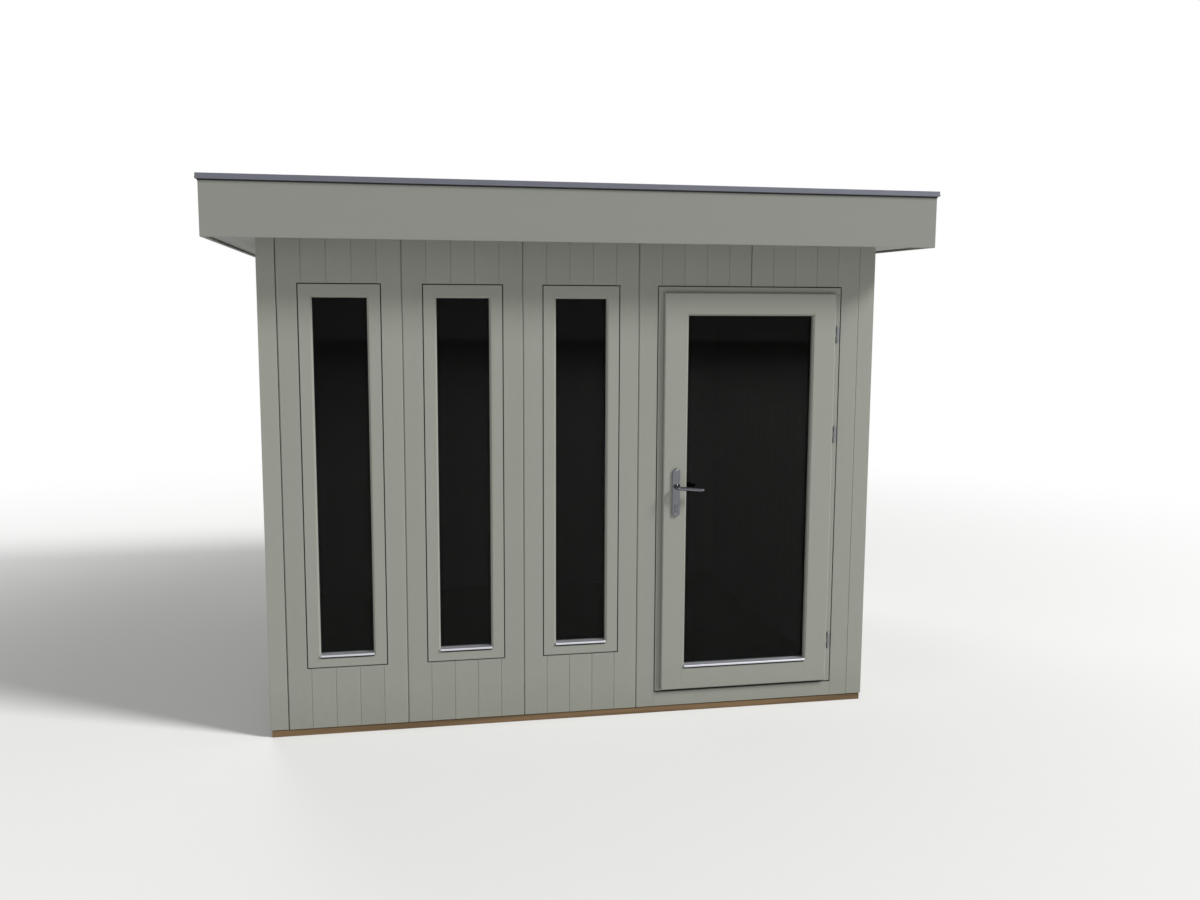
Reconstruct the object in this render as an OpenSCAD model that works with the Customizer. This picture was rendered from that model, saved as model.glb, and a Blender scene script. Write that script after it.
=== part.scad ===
// Garden office pod: a clad timber room with three slot windows and a glazed door
// under a flat roof that overhangs on every side. All sizes are in millimetres.
// The ground is z = 0, the front faces -Y, and the origin is the middle of the footprint.

/* [Body] */
// Width of one upright cladding board, joint to joint
board_w = 112; // [106:1:120]
// Number of boards across the front, between the corner trims
front_boards = 25; // [25:1:30]
// Number of boards along each side, between the corner trims
side_boards = 20; // [16:1:32]
// Width of a corner trim on each face
corner_w = 81; // [60:1:110]
// Height of the wall header over the windows and the door
header_h = 210; // [180:1:400]
// Thickness of the cladding boards
clad_t = 18; // [14:1:24]
// Thickness of the insulated wall frame behind the cladding
core_t = 90; // [80:1:140]
// Thickness of the inside lining boards
lining_t = 12; // [9:1:18]
// Height of the cladding's lower edge above the ground
clad_z = 35; // [15:1:55]
// Open joint between the cladding and a window or door frame
shadow_gap = 5; // [3:1:8]

/* [Base and floor] */
// Height of the base joists and rims
base_h = 75; // [60:1:120]
// Thickness of the base joists and rims
base_t = 45; // [38:1:60]
// Distance of the base's foot behind the face of the cladding
foot_in = 5; // [3:1:12]
// Gap between the base's foot and the cladding above it
foot_gap = 3; // [2:1:6]
// Number of base joists, the two outer ones included
base_joists = 9; // [5:2:13]
// Thickness of the floor deck
deck_t = 22; // [18:1:28]
// Thickness of the floor boards laid on the deck
floor_t = 12; // [8:1:15]

/* [Windows] */
// Number of slot windows
windows = 3; // [1:1:3]
// Boards in one window bay
bay_boards = 5; // [5:1:5]
// Height of the window and door heads above the floor deck
opening_h = 2024; // [1950:1:2150]
// Height of the window frames' lower edge above the floor deck
sill_h = 233; // [150:1:900]
// Overall width of a window frame
window_w = 365; // [320:1:440]
// Width of a window frame member, its bead included
window_face = 60; // [50:1:75]

/* [Glazing] */
// Thickness of a double glazed unit
glass_t = 24; // [20:1:28]
// Depth of the glass behind the face of its frame
glass_recess = 30; // [24:1:32]
// Width of a glazing bead
bead_w = 12; // [10:1:16]
// Width of the bead's sloped edge
bead_slope = 8; // [4:1:9]
// Clearance round the edge of a glazed unit
glass_play = 3; // [2:1:5]
// Height of a weather bar where it meets the glass
bar_h = 14; // [12:1:20]
// Projection of a weather bar's nose in front of its frame
bar_nose = 7; // [4:1:12]
// Height of a weather bar at its nose
bar_front_h = 11; // [8:1:14]
// Radius of a weather bar's rounded nose
bar_r = 3; // [2:0.5:4]
// Height of the nose's lower edge above the rail that carries the bar
bar_foot = 2; // [1:0.5:3]
// Distance of a weather bar's ends inside its rebate
bar_in = 10; // [8:0.5:10]
// Depth of the drip groove below a weather bar's nose
groove_d = 5; // [4:1:8]
// Height of the drip groove below a weather bar's nose
groove_h = 7; // [4:1:9]

/* [Door] */
// Boards from the left corner trim to the middle of the door
door_boards = 20; // [20:1:20]
// Width of the door leaf
leaf_w = 872; // [820:1:900]
// Thickness of the door leaf
leaf_t = 68; // [62:1:76]
// Projection of the leaf in front of the cladding
leaf_proud = 20; // [12:1:24]
// Width of the lips at the head and sides of the leaf, which lap over the frame
lip_w = 12; // [10:0.5:14]
// Gap between the lips and the face of the frame
lip_gap = 5; // [5:1:6]
// Open joint between the head lip and the side lips
lip_seam = 0.5; // [0.3:0.1:1]
// Gap between the leaf and its frame behind the lips
door_gap = 7.5; // [7.5:0.5:9]
// Gap between the leaf and the sill
door_gap_low = 15; // [10:1:16]
// Gap between the back of the leaf and the frame's stop
stop_gap = 5; // [5:1:8]
// Width of the frame's stop beyond the rebate
stop_w = 18; // [15:1:25]
// Width of the frame's face
jamb_face = 32; // [30:1:40]
// Height of the door sill above the floor deck
door_sill_h = 9; // [8:1:30]
// Width of a door stile
stile_w = 119; // [110:1:140]
// Height of the door's top rail
top_rail = 110; // [100:1:140]
// Height of the door's bottom rail below the weather bar
bottom_rail = 113; // [100:1:200]
// Width of the bevel round the front of the leaf
bevel_w = 5; // [4:1:9]
// Depth of the bevel round the front of the leaf
bevel_d = 4; // [3:1:8]

/* [Hinges] */
// Height of one hinge
hinge_h = 78; // [70:1:100]
// Outside diameter of a hinge knuckle
knuckle_d = 16; // [14:1:17]
// Diameter of a hinge pin
pin_d = 8; // [6:1:9]
// Radial clearance of a hinge pin
pin_play = 0.3; // [0.1:0.1:0.5]
// Thickness of a hinge plate
hinge_t = 3; // [2:0.5:4]
// Distance of a hinge plate's far edge from the back of the leaf
hinge_stop = 10; // [5:1:20]
// Distance of a hinge plate from the outer edge of the frame
hinge_edge = 2; // [1:0.5:3]
// Distance of the pins beyond the edge of the leaf
pin_out = 12; // [11:1:14]
// Distance of the pins in front of the door frame
pin_fore = 12; // [12:1:15]
// Height of the lowest hinge's middle above the foot of the leaf
hinge_low = 210; // [150:1:300]
// Height of the middle hinge's middle above the foot of the leaf
hinge_mid = 1273; // [900:1:1400]
// Depth of the top hinge's middle below the head of the leaf
hinge_top = 202; // [150:1:260]

/* [Handle] */
// Height of the lever's spindle above the foot of the leaf
handle_h = 1029; // [950:1:1100]
// Distance of the spindle from the edge of the leaf
handle_inset = 64; // [45:1:70]
// Width of a handle's back plate
plate_w = 38; // [32:1:46]
// Height of a handle's back plate
plate_h = 239; // [220:1:270]
// Thickness of a handle's back plate
plate_t = 8; // [6:1:10]
// Distance of the spindle above the middle of the plate
spindle_up = 28; // [25:1:60]
// Distance of the lock cylinder below the spindle
lock_drop = 98; // [80:1:110]
// Diameter of the lever
lever_d = 19; // [16:1:22]
// Length of the lever from the spindle to its end
lever_len = 130; // [110:1:145]
// Distance of the lever's centre line from its plate
lever_out = 40; // [36:1:50]
// Radius of the lever's bend
lever_bend = 18; // [14:1:22]
// Angle of a lever below the level at rest
lever_droop = 5; // [0:1:8]
// Radial clearance of the lever's neck in its plate
lever_play = 0.3; // [0.2:0.1:0.5]
// Width of the square spindle bar
spindle_w = 8; // [7:1:10]
// Radial clearance of the spindle and lever neck in the leaf
spindle_play = 1.5; // [1:0.5:3]
// Height of the collar round the lever's neck
collar_h = 3; // [2:0.5:5]
// Width of the collar round the lever's neck
collar_w = 4; // [3:0.5:6]
// Radius of the lock cylinder's barrel
lock_r = 8.5; // [8:0.5:9]
// Width of the lock cylinder's web
lock_web = 10; // [8:1:12]
// Height of the lock cylinder
lock_h = 33; // [30:1:36]
// Clearance round the lock cylinder
lock_play = 0.3; // [0.1:0.1:0.5]
// Projection of the lock cylinder beyond its plates
lock_proud = 2; // [1:0.5:3]
// Width of the keyway
keyway_w = 2; // [1.5:0.5:3]
// Height of the keyway
keyway_h = 9; // [7:1:11]
// Depth of the keyway
keyway_d = 4; // [2:1:8]

/* [Roof] */
// Overhang of the roof beyond the side walls
roof_over = 204; // [120:1:350]
// Overhang of the roof beyond the front and back walls
front_over = 220; // [120:1:350]
// Height of the fascia boards
fascia_h = 242; // [200:1:280]
// Thickness of the fascia boards
fascia_t = 20; // [16:1:28]
// Height of the soffit above the fascia's lower edge
soffit_up = 10; // [6:1:40]
// Thickness of the soffit boards
soffit_t = 9; // [6:1:15]
// Number of roof joists
roof_joists = 9; // [7:1:13]
// Thickness of a roof joist
roof_joist_t = 45; // [38:1:60]
// Thickness of the roof deck
roof_deck_t = 18; // [15:1:22]
// Thickness of the roof covering
covering_t = 3; // [2:0.5:5]
// Thickness of the edge trim's metal
trim_t = 2; // [1.5:0.5:3]
// Height of the edge trim
trim_h = 24; // [22:1:30]
// Gap between the edge trim's drip and the roof's edge
trim_gap = 9; // [3:1:12]
// Width of the edge trim over the covering
trim_lap = 50; // [30:1:80]

/* [Hidden] */
$fn = 48;
body_w = front_boards * board_w + 2 * corner_w;
body_d = side_boards * board_w + 2 * corner_w;
wall_t = clad_t + core_t + lining_t;
half_w = body_w / 2;
half_d = body_d / 2;
face_y = -half_d;
core_w = half_w - clad_t;
core_d = half_d - clad_t;
room_w = half_w - wall_t;
room_d = half_d - wall_t;
deck_z = base_h + deck_t;
opening_z = deck_z + opening_h;
wall_z = opening_z + header_h;
sill_z = deck_z + sill_h;
ceiling_z = wall_z - lining_t;

bay_w = bay_boards * board_w;
over = clad_t / 18; // how far a cut runs past the face that it opens
boards_x = -half_w + corner_w;

// Outline of the rebate that takes a glazed unit: left, right, bottom and top
function window_x(i) = boards_x + (i + 0.5) * bay_w;
function window_rebate(i) = [
    window_x(i) - window_w / 2 + window_face - bead_w,
    window_x(i) + window_w / 2 - window_face + bead_w,
    sill_z + window_face - bead_w,
    opening_z - window_face + bead_w
];

door_x = boards_x + door_boards * board_w;
leaf_x0 = door_x - leaf_w / 2;
leaf_x1 = door_x + leaf_w / 2;
body_x0 = leaf_x0 + lip_w;
body_x1 = leaf_x1 - lip_w;
reveal_x0 = body_x0 - door_gap;
reveal_x1 = body_x1 + door_gap;
frame_x0 = reveal_x0 - jamb_face;
frame_x1 = reveal_x1 + jamb_face;
door_sill_z = deck_z + door_sill_h;
leaf_z0 = door_sill_z + door_gap_low;
body_z1 = opening_z - jamb_face - door_gap;
leaf_z1 = body_z1 + lip_w;
leaf_y0 = face_y - leaf_proud;
leaf_y1 = leaf_y0 + leaf_t;
lip_y = face_y - lip_gap;
stop_y = leaf_y1 + stop_gap;
stop_x0 = reveal_x0 + stop_w;
stop_x1 = reveal_x1 - stop_w;
door_rebate = [
    leaf_x0 + stile_w - bead_w,
    leaf_x1 - stile_w + bead_w,
    leaf_z0 + bottom_rail,
    leaf_z1 - top_rail + bead_w
];

handle_x = leaf_x0 + handle_inset;
handle_z = leaf_z0 + handle_h;
lock_z = handle_z - lock_drop;
pin_x = leaf_x1 + pin_out;
pin_y = face_y - pin_fore;
hinge_zs = [leaf_z0 + hinge_low, leaf_z0 + hinge_mid, leaf_z1 - hinge_top];

roof_w = half_w + roof_over;
roof_d = half_d + front_over;
soffit_z = wall_z - soffit_t;
fascia_z = soffit_z - soffit_up;
roof_z = fascia_z + fascia_h;
cover_z = roof_z + roof_deck_t;
trim_z = cover_z + covering_t + trim_t;

paint = [0.61, 0.62, 0.57];
board_paint = [0.58, 0.59, 0.54];
treated = [0.55, 0.40, 0.28];
timber = [0.78, 0.66, 0.48];
lining = [0.88, 0.87, 0.83];
floor_wood = [0.62, 0.47, 0.32];
dark_glass = [0.08, 0.09, 0.10, 0.6];
bright_metal = [0.80, 0.81, 0.84];
steel = [0.70, 0.71, 0.72];
edge_metal = [0.27, 0.28, 0.33];
roof_sheet = [0.20, 0.20, 0.22];

// A plain block between two values on each axis
module slab(x, y, z) {
    translate([x[0], y[0], z[0]]) cube([x[1] - x[0], y[1] - y[0], z[1] - z[0]]);
}

// A profile drawn in y and z, run along x
module along_x(x0, x1) {
    translate([x0, 0, 0]) rotate([90, 0, 90]) linear_extrude(x1 - x0) children();
}

// A profile drawn in x and z, run along y
module along_y(y0, y1) {
    translate([0, y1, 0]) rotate([90, 0, 0]) linear_extrude(y1 - y0) children();
}

// A profile drawn in x and y, run along z
module along_z(z0, z1) {
    translate([0, 0, z0]) linear_extrude(z1 - z0) children();
}

// The same children on the left and on the right
module both_sides() {
    children();
    mirror([1, 0, 0]) children();
}

// The same children at the front and at the back
module both_ends() {
    children();
    mirror([0, 1, 0]) children();
}

// Base and floor
module base_rims() {
    color(treated) both_ends() {
        slab([-core_w, core_w], [-core_d, -core_d + base_t], [0, base_h]);
        slab([-half_w + foot_in, half_w - foot_in], [-half_d + foot_in, -core_d + base_t],
             [0, clad_z - foot_gap]);
    }
}

module base_joists() {
    pitch = (2 * core_w - base_t) / (base_joists - 1);
    color(treated)
        for (i = [0 : base_joists - 1])
            translate([-core_w + i * pitch, 0, 0])
                slab([0, base_t], [-core_d + base_t, core_d - base_t], [0, base_h]);
    color(treated) both_sides()
        slab([-half_w + foot_in, -core_w + base_t / 2], [-core_d + base_t, core_d - base_t],
             [0, clad_z - foot_gap]);
}

module floor_deck() {
    color(timber) slab([-core_w, core_w], [-core_d, core_d], [base_h, deck_z]);
}

module floor_boards() {
    color(floor_wood) slab([-room_w, room_w], [-room_d, room_d], [deck_z, deck_z + floor_t]);
}

// Framed walls
module front_wall_slab(x, z) {
    slab(x, [-core_d, -core_d + core_t], z);
}

module front_header() {
    color(timber) front_wall_slab([-core_w, core_w], [opening_z, wall_z]);
}

module front_apron() {
    color(timber) front_wall_slab([-core_w, frame_x0], [deck_z, sill_z]);
}

module front_piers() {
    last = windows - 1;
    color(timber) {
        front_wall_slab([-core_w, window_x(0) - window_w / 2], [sill_z, opening_z]);
        for (i = [0 : 1 : last - 1])
            front_wall_slab(
                [window_x(i) + window_w / 2, window_x(i + 1) - window_w / 2], [sill_z, opening_z]);
        front_wall_slab([window_x(last) + window_w / 2, frame_x0], [sill_z, opening_z]);
        front_wall_slab([frame_x1, core_w], [deck_z, opening_z]);
    }
}

module side_wall() {
    slab([-core_w, -core_w + core_t], [-core_d + core_t, core_d - core_t], [deck_z, wall_z]);
}

module left_wall() {
    color(timber) side_wall();
}

module right_wall() {
    color(timber) mirror([1, 0, 0]) side_wall();
}

module back_wall() {
    color(timber) slab([-core_w, core_w], [core_d - core_t, core_d], [deck_z, wall_z]);
}

// Cladding and trims
module window_openings(gap, y) {
    for (i = [0 : windows - 1])
        slab([window_x(i) - window_w / 2 - gap, window_x(i) + window_w / 2 + gap], y,
             [sill_z - gap, opening_z + gap]);
}

module front_cladding() {
    y = [face_y, face_y + clad_t];
    cut_y = [face_y - over, face_y + clad_t + over];
    color(board_paint) difference() {
        slab([boards_x, -boards_x], y, [clad_z, wall_z]);
        window_openings(shadow_gap, cut_y);
        slab([frame_x0 - shadow_gap, frame_x1 + shadow_gap], cut_y,
             [clad_z - over, opening_z + shadow_gap]);
    }
}

module side_cladding() {
    color(board_paint) both_sides()
        slab([-half_w, -core_w], [-half_d + corner_w, half_d - corner_w], [clad_z, wall_z]);
}

module back_cladding() {
    color(board_paint) slab([boards_x, -boards_x], [core_d, half_d], [clad_z, wall_z]);
}

module corner_trims() {
    color(paint) both_sides() both_ends() along_z(clad_z, wall_z) difference() {
        translate([-half_w, -half_d]) square(corner_w);
        translate([-core_w, -core_d]) square(corner_w);
    }
}

// Inside linings
module front_lining() {
    y = [-core_d + core_t, -room_d];
    cut_y = [y[0] - over, y[1] + over];
    color(lining) difference() {
        slab([-core_w + core_t, core_w - core_t], y, [deck_z, ceiling_z]);
        window_openings(0, cut_y);
        slab([frame_x0, frame_x1], cut_y, [deck_z - over, opening_z]);
    }
}

module side_linings() {
    color(lining) both_sides()
        slab([-core_w + core_t, -room_w], [-room_d, room_d], [deck_z, ceiling_z]);
}

module back_lining() {
    color(lining)
        slab([-core_w + core_t, core_w - core_t], [room_d, core_d - core_t], [deck_z, ceiling_z]);
}

module ceiling() {
    color(lining)
        slab([-core_w + core_t, core_w - core_t], [-core_d + core_t, core_d - core_t],
             [ceiling_z, wall_z]);
}

// Glazing, for a rebate whose frame has its face at y
module glazing_cut(rebate, y, depth) {
    glass_back = y + glass_recess + glass_t;
    slab([rebate[0] + bar_in, rebate[1] - bar_in], [y - over, y + groove_d],
         [rebate[2] - groove_h, rebate[2] + over]);
    slab([rebate[0], rebate[1]], [y - over, glass_back], [rebate[2], rebate[3]]);
    slab([rebate[0] + bead_w, rebate[1] - bead_w], [glass_back - over, y + depth + over],
         [rebate[2] + bar_h, rebate[3] - bead_w]);
}

module glass_unit(rebate, y) {
    slab([rebate[0] + glass_play, rebate[1] - glass_play],
         [y + glass_recess, y + glass_recess + glass_t],
         [rebate[2] + glass_play, rebate[3] - glass_play]);
}

module bar_profile(y, z) {
    translate([y, z]) {
        polygon([
            [glass_recess, 0], [glass_recess, bar_h],
            [bar_r - bar_nose, bar_front_h], [-bar_nose, bar_front_h - bar_r],
            [-bar_nose, bar_foot], [groove_d, bar_foot], [groove_d, 0]
        ]);
        translate([bar_r - bar_nose, bar_front_h - bar_r]) circle(bar_r);
    }
}

module weather_bar(rebate, y) {
    along_x(rebate[0] + bar_in, rebate[1] - bar_in) bar_profile(y, rebate[2]);
}

// Top and side beads with a sloped inner edge, cut to fit over the weather bar's ends
module bead_set(rebate, y) {
    x0 = rebate[0] + bead_w;
    x1 = rebate[1] - bead_w;
    z1 = rebate[3] - bead_w;
    difference() {
        slab([rebate[0], rebate[1]], [y, y + glass_recess], [rebate[2], rebate[3]]);
        slab([x0, x1], [y - over, y + glass_recess + over], [rebate[2] - over, z1]);
        along_z(rebate[2] - over, z1 + bead_slope)
            polygon([[x0 - bead_slope, y], [x0, y - over], [x0 + over, y], [x0, y + bead_slope]]);
        along_z(rebate[2] - over, z1 + bead_slope)
            polygon([[x1 + bead_slope, y], [x1, y - over], [x1 - over, y], [x1, y + bead_slope]]);
        along_x(x0 - bead_slope, x1 + bead_slope)
            polygon([[y, z1 + bead_slope], [y - over, z1], [y, z1 - over], [y + bead_slope, z1]]);
        along_x(rebate[0] + bar_in, rebate[1] - bar_in) bar_profile(y, rebate[2]);
    }
}

// Windows
module window_frames() {
    color(paint)
        for (i = [0 : windows - 1])
            difference() {
                slab([window_x(i) - window_w / 2, window_x(i) + window_w / 2],
                     [face_y, face_y + wall_t], [sill_z, opening_z]);
                glazing_cut(window_rebate(i), face_y, wall_t);
            }
}

module window_beads() {
    color(paint) for (i = [0 : windows - 1]) bead_set(window_rebate(i), face_y);
}

module window_glass() {
    color(dark_glass) for (i = [0 : windows - 1]) glass_unit(window_rebate(i), face_y);
}

module window_weather_bars() {
    color(bright_metal) for (i = [0 : windows - 1]) weather_bar(window_rebate(i), face_y);
}

// Door frame
module door_jamb() {
    slab([frame_x0, frame_x0 + jamb_face], [face_y, face_y + wall_t],
         [door_sill_z, opening_z - jamb_face]);
    slab([frame_x0 + jamb_face / 2, stop_x0], [stop_y, face_y + wall_t],
         [door_sill_z, opening_z - jamb_face]);
}

module door_jambs() {
    color(paint) {
        door_jamb();
        translate([2 * door_x, 0, 0]) mirror([1, 0, 0]) door_jamb();
    }
}

module door_head() {
    color(paint) {
        slab([frame_x0, frame_x1], [face_y, face_y + wall_t], [opening_z - jamb_face, opening_z]);
        slab([stop_x0, stop_x1], [stop_y, face_y + wall_t],
             [opening_z - jamb_face - stop_w, opening_z - jamb_face / 2]);
    }
}

module door_sill() {
    color(paint) {
        slab([frame_x0, frame_x1], [face_y, face_y + wall_t], [deck_z, door_sill_z]);
        slab([frame_x0 - shadow_gap, frame_x1 + shadow_gap], [face_y, face_y + clad_t],
             [clad_z, door_sill_z]);
        slab([stop_x0, stop_x1], [stop_y, face_y + wall_t],
             [deck_z, door_sill_z + door_gap_low + stop_w / 2]);
    }
}

// Door leaf
module leaf_blank() {
    intersection() {
        along_z(leaf_z0, leaf_z1)
            polygon([
                [leaf_x0, leaf_y1], [leaf_x0, leaf_y0 + bevel_d], [leaf_x0 + bevel_w, leaf_y0],
                [leaf_x1 - bevel_w, leaf_y0], [leaf_x1, leaf_y0 + bevel_d], [leaf_x1, leaf_y1]
            ]);
        along_x(leaf_x0, leaf_x1)
            polygon([
                [leaf_y1, leaf_z0], [leaf_y0 + bevel_d, leaf_z0], [leaf_y0, leaf_z0 + bevel_w],
                [leaf_y0, leaf_z1 - bevel_w], [leaf_y0 + bevel_d, leaf_z1], [leaf_y1, leaf_z1]
            ]);
    }
}

module leaf_cuts() {
    glazing_cut(door_rebate, leaf_y0, leaf_t);
    along_y(leaf_y0 - over, leaf_y1 + over) translate([handle_x, handle_z])
        circle(d = lever_d + 2 * spindle_play);
    along_y(leaf_y0 - over, leaf_y1 + over) lock_profile(lock_play);
    hinge_recesses();
}

module hinge_recesses() {
    for (z = hinge_zs)
        slab([body_x1 - hinge_t, leaf_x1 + over], [pin_y - hinge_t / 2, leaf_y1 - hinge_stop],
             [z - hinge_h / 2, z + hinge_h / 2]);
}

module door_stiles() {
    y = [leaf_y0, leaf_y1];
    z = [leaf_z0, body_z1];
    color(paint) difference() {
        intersection() {
            leaf_blank();
            union() {
                slab([body_x0, leaf_x0 + stile_w], y, z);
                slab([leaf_x1 - stile_w, body_x1], y, z);
            }
        }
        leaf_cuts();
    }
}

module door_rails() {
    x = [leaf_x0 + stile_w, leaf_x1 - stile_w];
    y = [leaf_y0, leaf_y1];
    color(paint) difference() {
        intersection() {
            leaf_blank();
            union() {
                slab(x, y, [leaf_z0, leaf_z0 + bottom_rail + bar_h]);
                slab(x, y, [leaf_z1 - top_rail, body_z1]);
            }
        }
        glazing_cut(door_rebate, leaf_y0, leaf_t);
    }
}

// The head and side lips of the leaf, which cover its joint with the frame
module door_lips() {
    cut_x = [leaf_x0 - over, leaf_x1 + over];
    cut_y = [leaf_y0 - over, leaf_y1 + over];
    color(paint) difference() {
        leaf_blank();
        slab(cut_x, [lip_y, leaf_y1 + over], [leaf_z0 - over, leaf_z1 + over]);
        slab([body_x0, body_x1], cut_y, [leaf_z0 - over, body_z1]);
        slab(cut_x, cut_y, [body_z1 - lip_seam, body_z1]);
        hinge_recesses();
    }
}

module door_glass() {
    color(dark_glass) glass_unit(door_rebate, leaf_y0);
}

module door_beads() {
    color(paint) bead_set(door_rebate, leaf_y0);
}

module door_weather_bar() {
    color(bright_metal) weather_bar(door_rebate, leaf_y0);
}

// Hinges
module hinge_brackets() {
    part_h = hinge_h / 3;
    color(steel)
        for (z = hinge_zs) {
            slab([pin_x - hinge_t, frame_x1 - hinge_edge], [face_y - hinge_t, face_y],
                 [z - hinge_h / 2, z + hinge_h / 2]);
            translate([pin_x, pin_y, z - hinge_h / 2]) cylinder(d = pin_d, h = hinge_h);
            for (foot = [z - hinge_h / 2, z + part_h / 2 + pin_play]) {
                translate([pin_x, pin_y, foot]) cylinder(d = knuckle_d, h = part_h - pin_play);
                slab([pin_x - hinge_t, pin_x + pin_d / 2 + hinge_t], [pin_y, face_y - hinge_t / 2],
                     [foot, foot + part_h - pin_play]);
            }
        }
}

module hinge_leaves() {
    part_h = hinge_h / 3;
    color(steel)
        for (z = hinge_zs)
            difference() {
                union() {
                    slab([body_x1 - hinge_t, body_x1], [pin_y - hinge_t / 2, leaf_y1 - hinge_stop],
                         [z - hinge_h / 2, z + hinge_h / 2]);
                    slab([body_x1 - hinge_t, pin_x], [pin_y - hinge_t / 2, pin_y + hinge_t / 2],
                         [z - part_h / 2, z + part_h / 2]);
                    translate([pin_x, pin_y, z - part_h / 2]) cylinder(d = knuckle_d, h = part_h);
                }
                translate([pin_x, pin_y, z - hinge_h / 2])
                    cylinder(d = pin_d + 2 * pin_play, h = hinge_h);
            }
}

// Handle and lock
module lock_profile(play) {
    translate([handle_x, lock_z]) {
        circle(r = lock_r + play);
        translate([-lock_web / 2 - play, -lock_h + lock_r + lock_web / 2])
            square([lock_web + 2 * play, lock_h - lock_r - lock_web / 2]);
        translate([0, -lock_h + lock_r + lock_web / 2]) circle(r = lock_web / 2 + play);
    }
}

module plate_outline() {
    middle_z = handle_z - spindle_up;
    run = (plate_h - plate_w) / 2;
    translate([handle_x - plate_w / 2, middle_z - run]) square([plate_w, 2 * run]);
    for (end = [-run, run]) translate([handle_x, middle_z + end]) circle(d = plate_w);
}

// One back plate on the front of the leaf, with a collar round the lever's neck
module handle_plate() {
    difference() {
        union() {
            along_y(leaf_y0 - plate_t, leaf_y0) plate_outline();
            along_y(leaf_y0 - plate_t - collar_h, leaf_y0)
                translate([handle_x, handle_z]) circle(d = lever_d + 2 * collar_w);
        }
        along_y(leaf_y0 - plate_t - collar_h - over, leaf_y0 + over)
            translate([handle_x, handle_z]) circle(d = lever_d + 2 * lever_play);
        along_y(leaf_y0 - plate_t - over, leaf_y0 + over) lock_profile(lock_play);
    }
}

// The same children on the front of the leaf and on its back
module leaf_back() {
    translate([0, leaf_y0 + leaf_y1, 0]) mirror([0, 1, 0]) children();
}

module handle_plates() {
    color(bright_metal) {
        handle_plate();
        leaf_back() handle_plate();
    }
}

module lock_cylinder() {
    proud = plate_t + lock_proud;
    color(bright_metal) difference() {
        along_y(leaf_y0 - proud, leaf_y1 + proud) lock_profile(0);
        for (y = [leaf_y0 - proud, leaf_y1 + proud])
            translate([handle_x, y, lock_z]) cube([keyway_w, 2 * keyway_d, keyway_h], center = true);
    }
}

module lever() {
    bend_y = leaf_y0 - plate_t - lever_out + lever_bend;
    straight = lever_len - lever_bend - lever_d / 2;
    translate([handle_x, leaf_y0, handle_z])
        rotate([90, 0, 0]) cylinder(d = lever_d, h = leaf_y0 - bend_y);
    translate([handle_x + lever_bend, bend_y, handle_z])
        rotate([0, 0, 180]) rotate_extrude(angle = 90) translate([lever_bend, 0]) circle(d = lever_d);
    translate([handle_x + lever_bend, bend_y - lever_bend, handle_z]) {
        rotate([0, 90, 0]) cylinder(d = lever_d, h = straight);
        translate([straight, 0, 0]) sphere(d = lever_d);
    }
}

// The same children turned down round the spindle
module drooped() {
    translate([handle_x, 0, handle_z]) rotate([0, lever_droop, 0])
        translate([-handle_x, 0, -handle_z]) children();
}

module outer_lever() {
    color(bright_metal) drooped() lever();
}

module inner_lever() {
    color(bright_metal) leaf_back() drooped() lever();
}

module spindle() {
    color(steel) translate([handle_x, (leaf_y0 + leaf_y1) / 2, handle_z])
        cube([spindle_w, leaf_t, spindle_w], center = true);
}

// Roof
module roof_joist_set() {
    first = -roof_w + fascia_t;
    pitch = (2 * roof_w - 2 * fascia_t - roof_joist_t) / (roof_joists - 1);
    color(timber)
        for (i = [0 : roof_joists - 1])
            translate([first + i * pitch, 0, 0])
                slab([0, roof_joist_t], [-roof_d + fascia_t, roof_d - fascia_t], [wall_z, roof_z]);
}

module roof_deck() {
    color(timber) slab([-roof_w, roof_w], [-roof_d, roof_d], [roof_z, cover_z]);
}

module roof_covering() {
    color(roof_sheet) slab([-roof_w, roof_w], [-roof_d, roof_d], [cover_z, cover_z + covering_t]);
}

module front_and_back_fascias() {
    color(paint) both_ends()
        slab([-roof_w, roof_w], [-roof_d, -roof_d + fascia_t], [fascia_z, roof_z]);
}

module side_fascias() {
    color(paint) both_sides()
        slab([-roof_w, -roof_w + fascia_t], [-roof_d + fascia_t, roof_d - fascia_t],
             [fascia_z, roof_z]);
}

module front_and_back_soffits() {
    color(paint) both_ends()
        slab([-roof_w + fascia_t, roof_w - fascia_t], [-roof_d + fascia_t, -half_d],
             [soffit_z, wall_z]);
}

module side_soffits() {
    color(paint) both_sides()
        slab([-roof_w + fascia_t, -half_w], [-half_d, half_d], [soffit_z, wall_z]);
}

module roof_edge_trim() {
    out = trim_gap + trim_t;
    color(edge_metal) difference() {
        slab([-roof_w - out, roof_w + out], [-roof_d - out, roof_d + out], [trim_z - trim_h, trim_z]);
        slab([-roof_w - trim_gap, roof_w + trim_gap], [-roof_d - trim_gap, roof_d + trim_gap],
             [trim_z - trim_h - over, trim_z - trim_t]);
        slab([-roof_w + trim_lap, roof_w - trim_lap], [-roof_d + trim_lap, roof_d - trim_lap],
             [trim_z - trim_t - over, trim_z + over]);
    }
}

base_rims();
base_joists();
floor_deck();
floor_boards();
front_header();
front_apron();
front_piers();
left_wall();
right_wall();
back_wall();
front_cladding();
side_cladding();
back_cladding();
corner_trims();
front_lining();
side_linings();
back_lining();
ceiling();
window_frames();
window_beads();
window_glass();
window_weather_bars();
door_jambs();
door_head();
door_sill();
hinge_brackets();
door_stiles();
door_rails();
door_lips();
door_glass();
door_beads();
door_weather_bar();
handle_plates();
lock_cylinder();
hinge_leaves();
outer_lever();
inner_lever();
spindle();
roof_joist_set();
roof_deck();
roof_covering();
front_and_back_fascias();
side_fascias();
front_and_back_soffits();
side_soffits();
roof_edge_trim();
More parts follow.
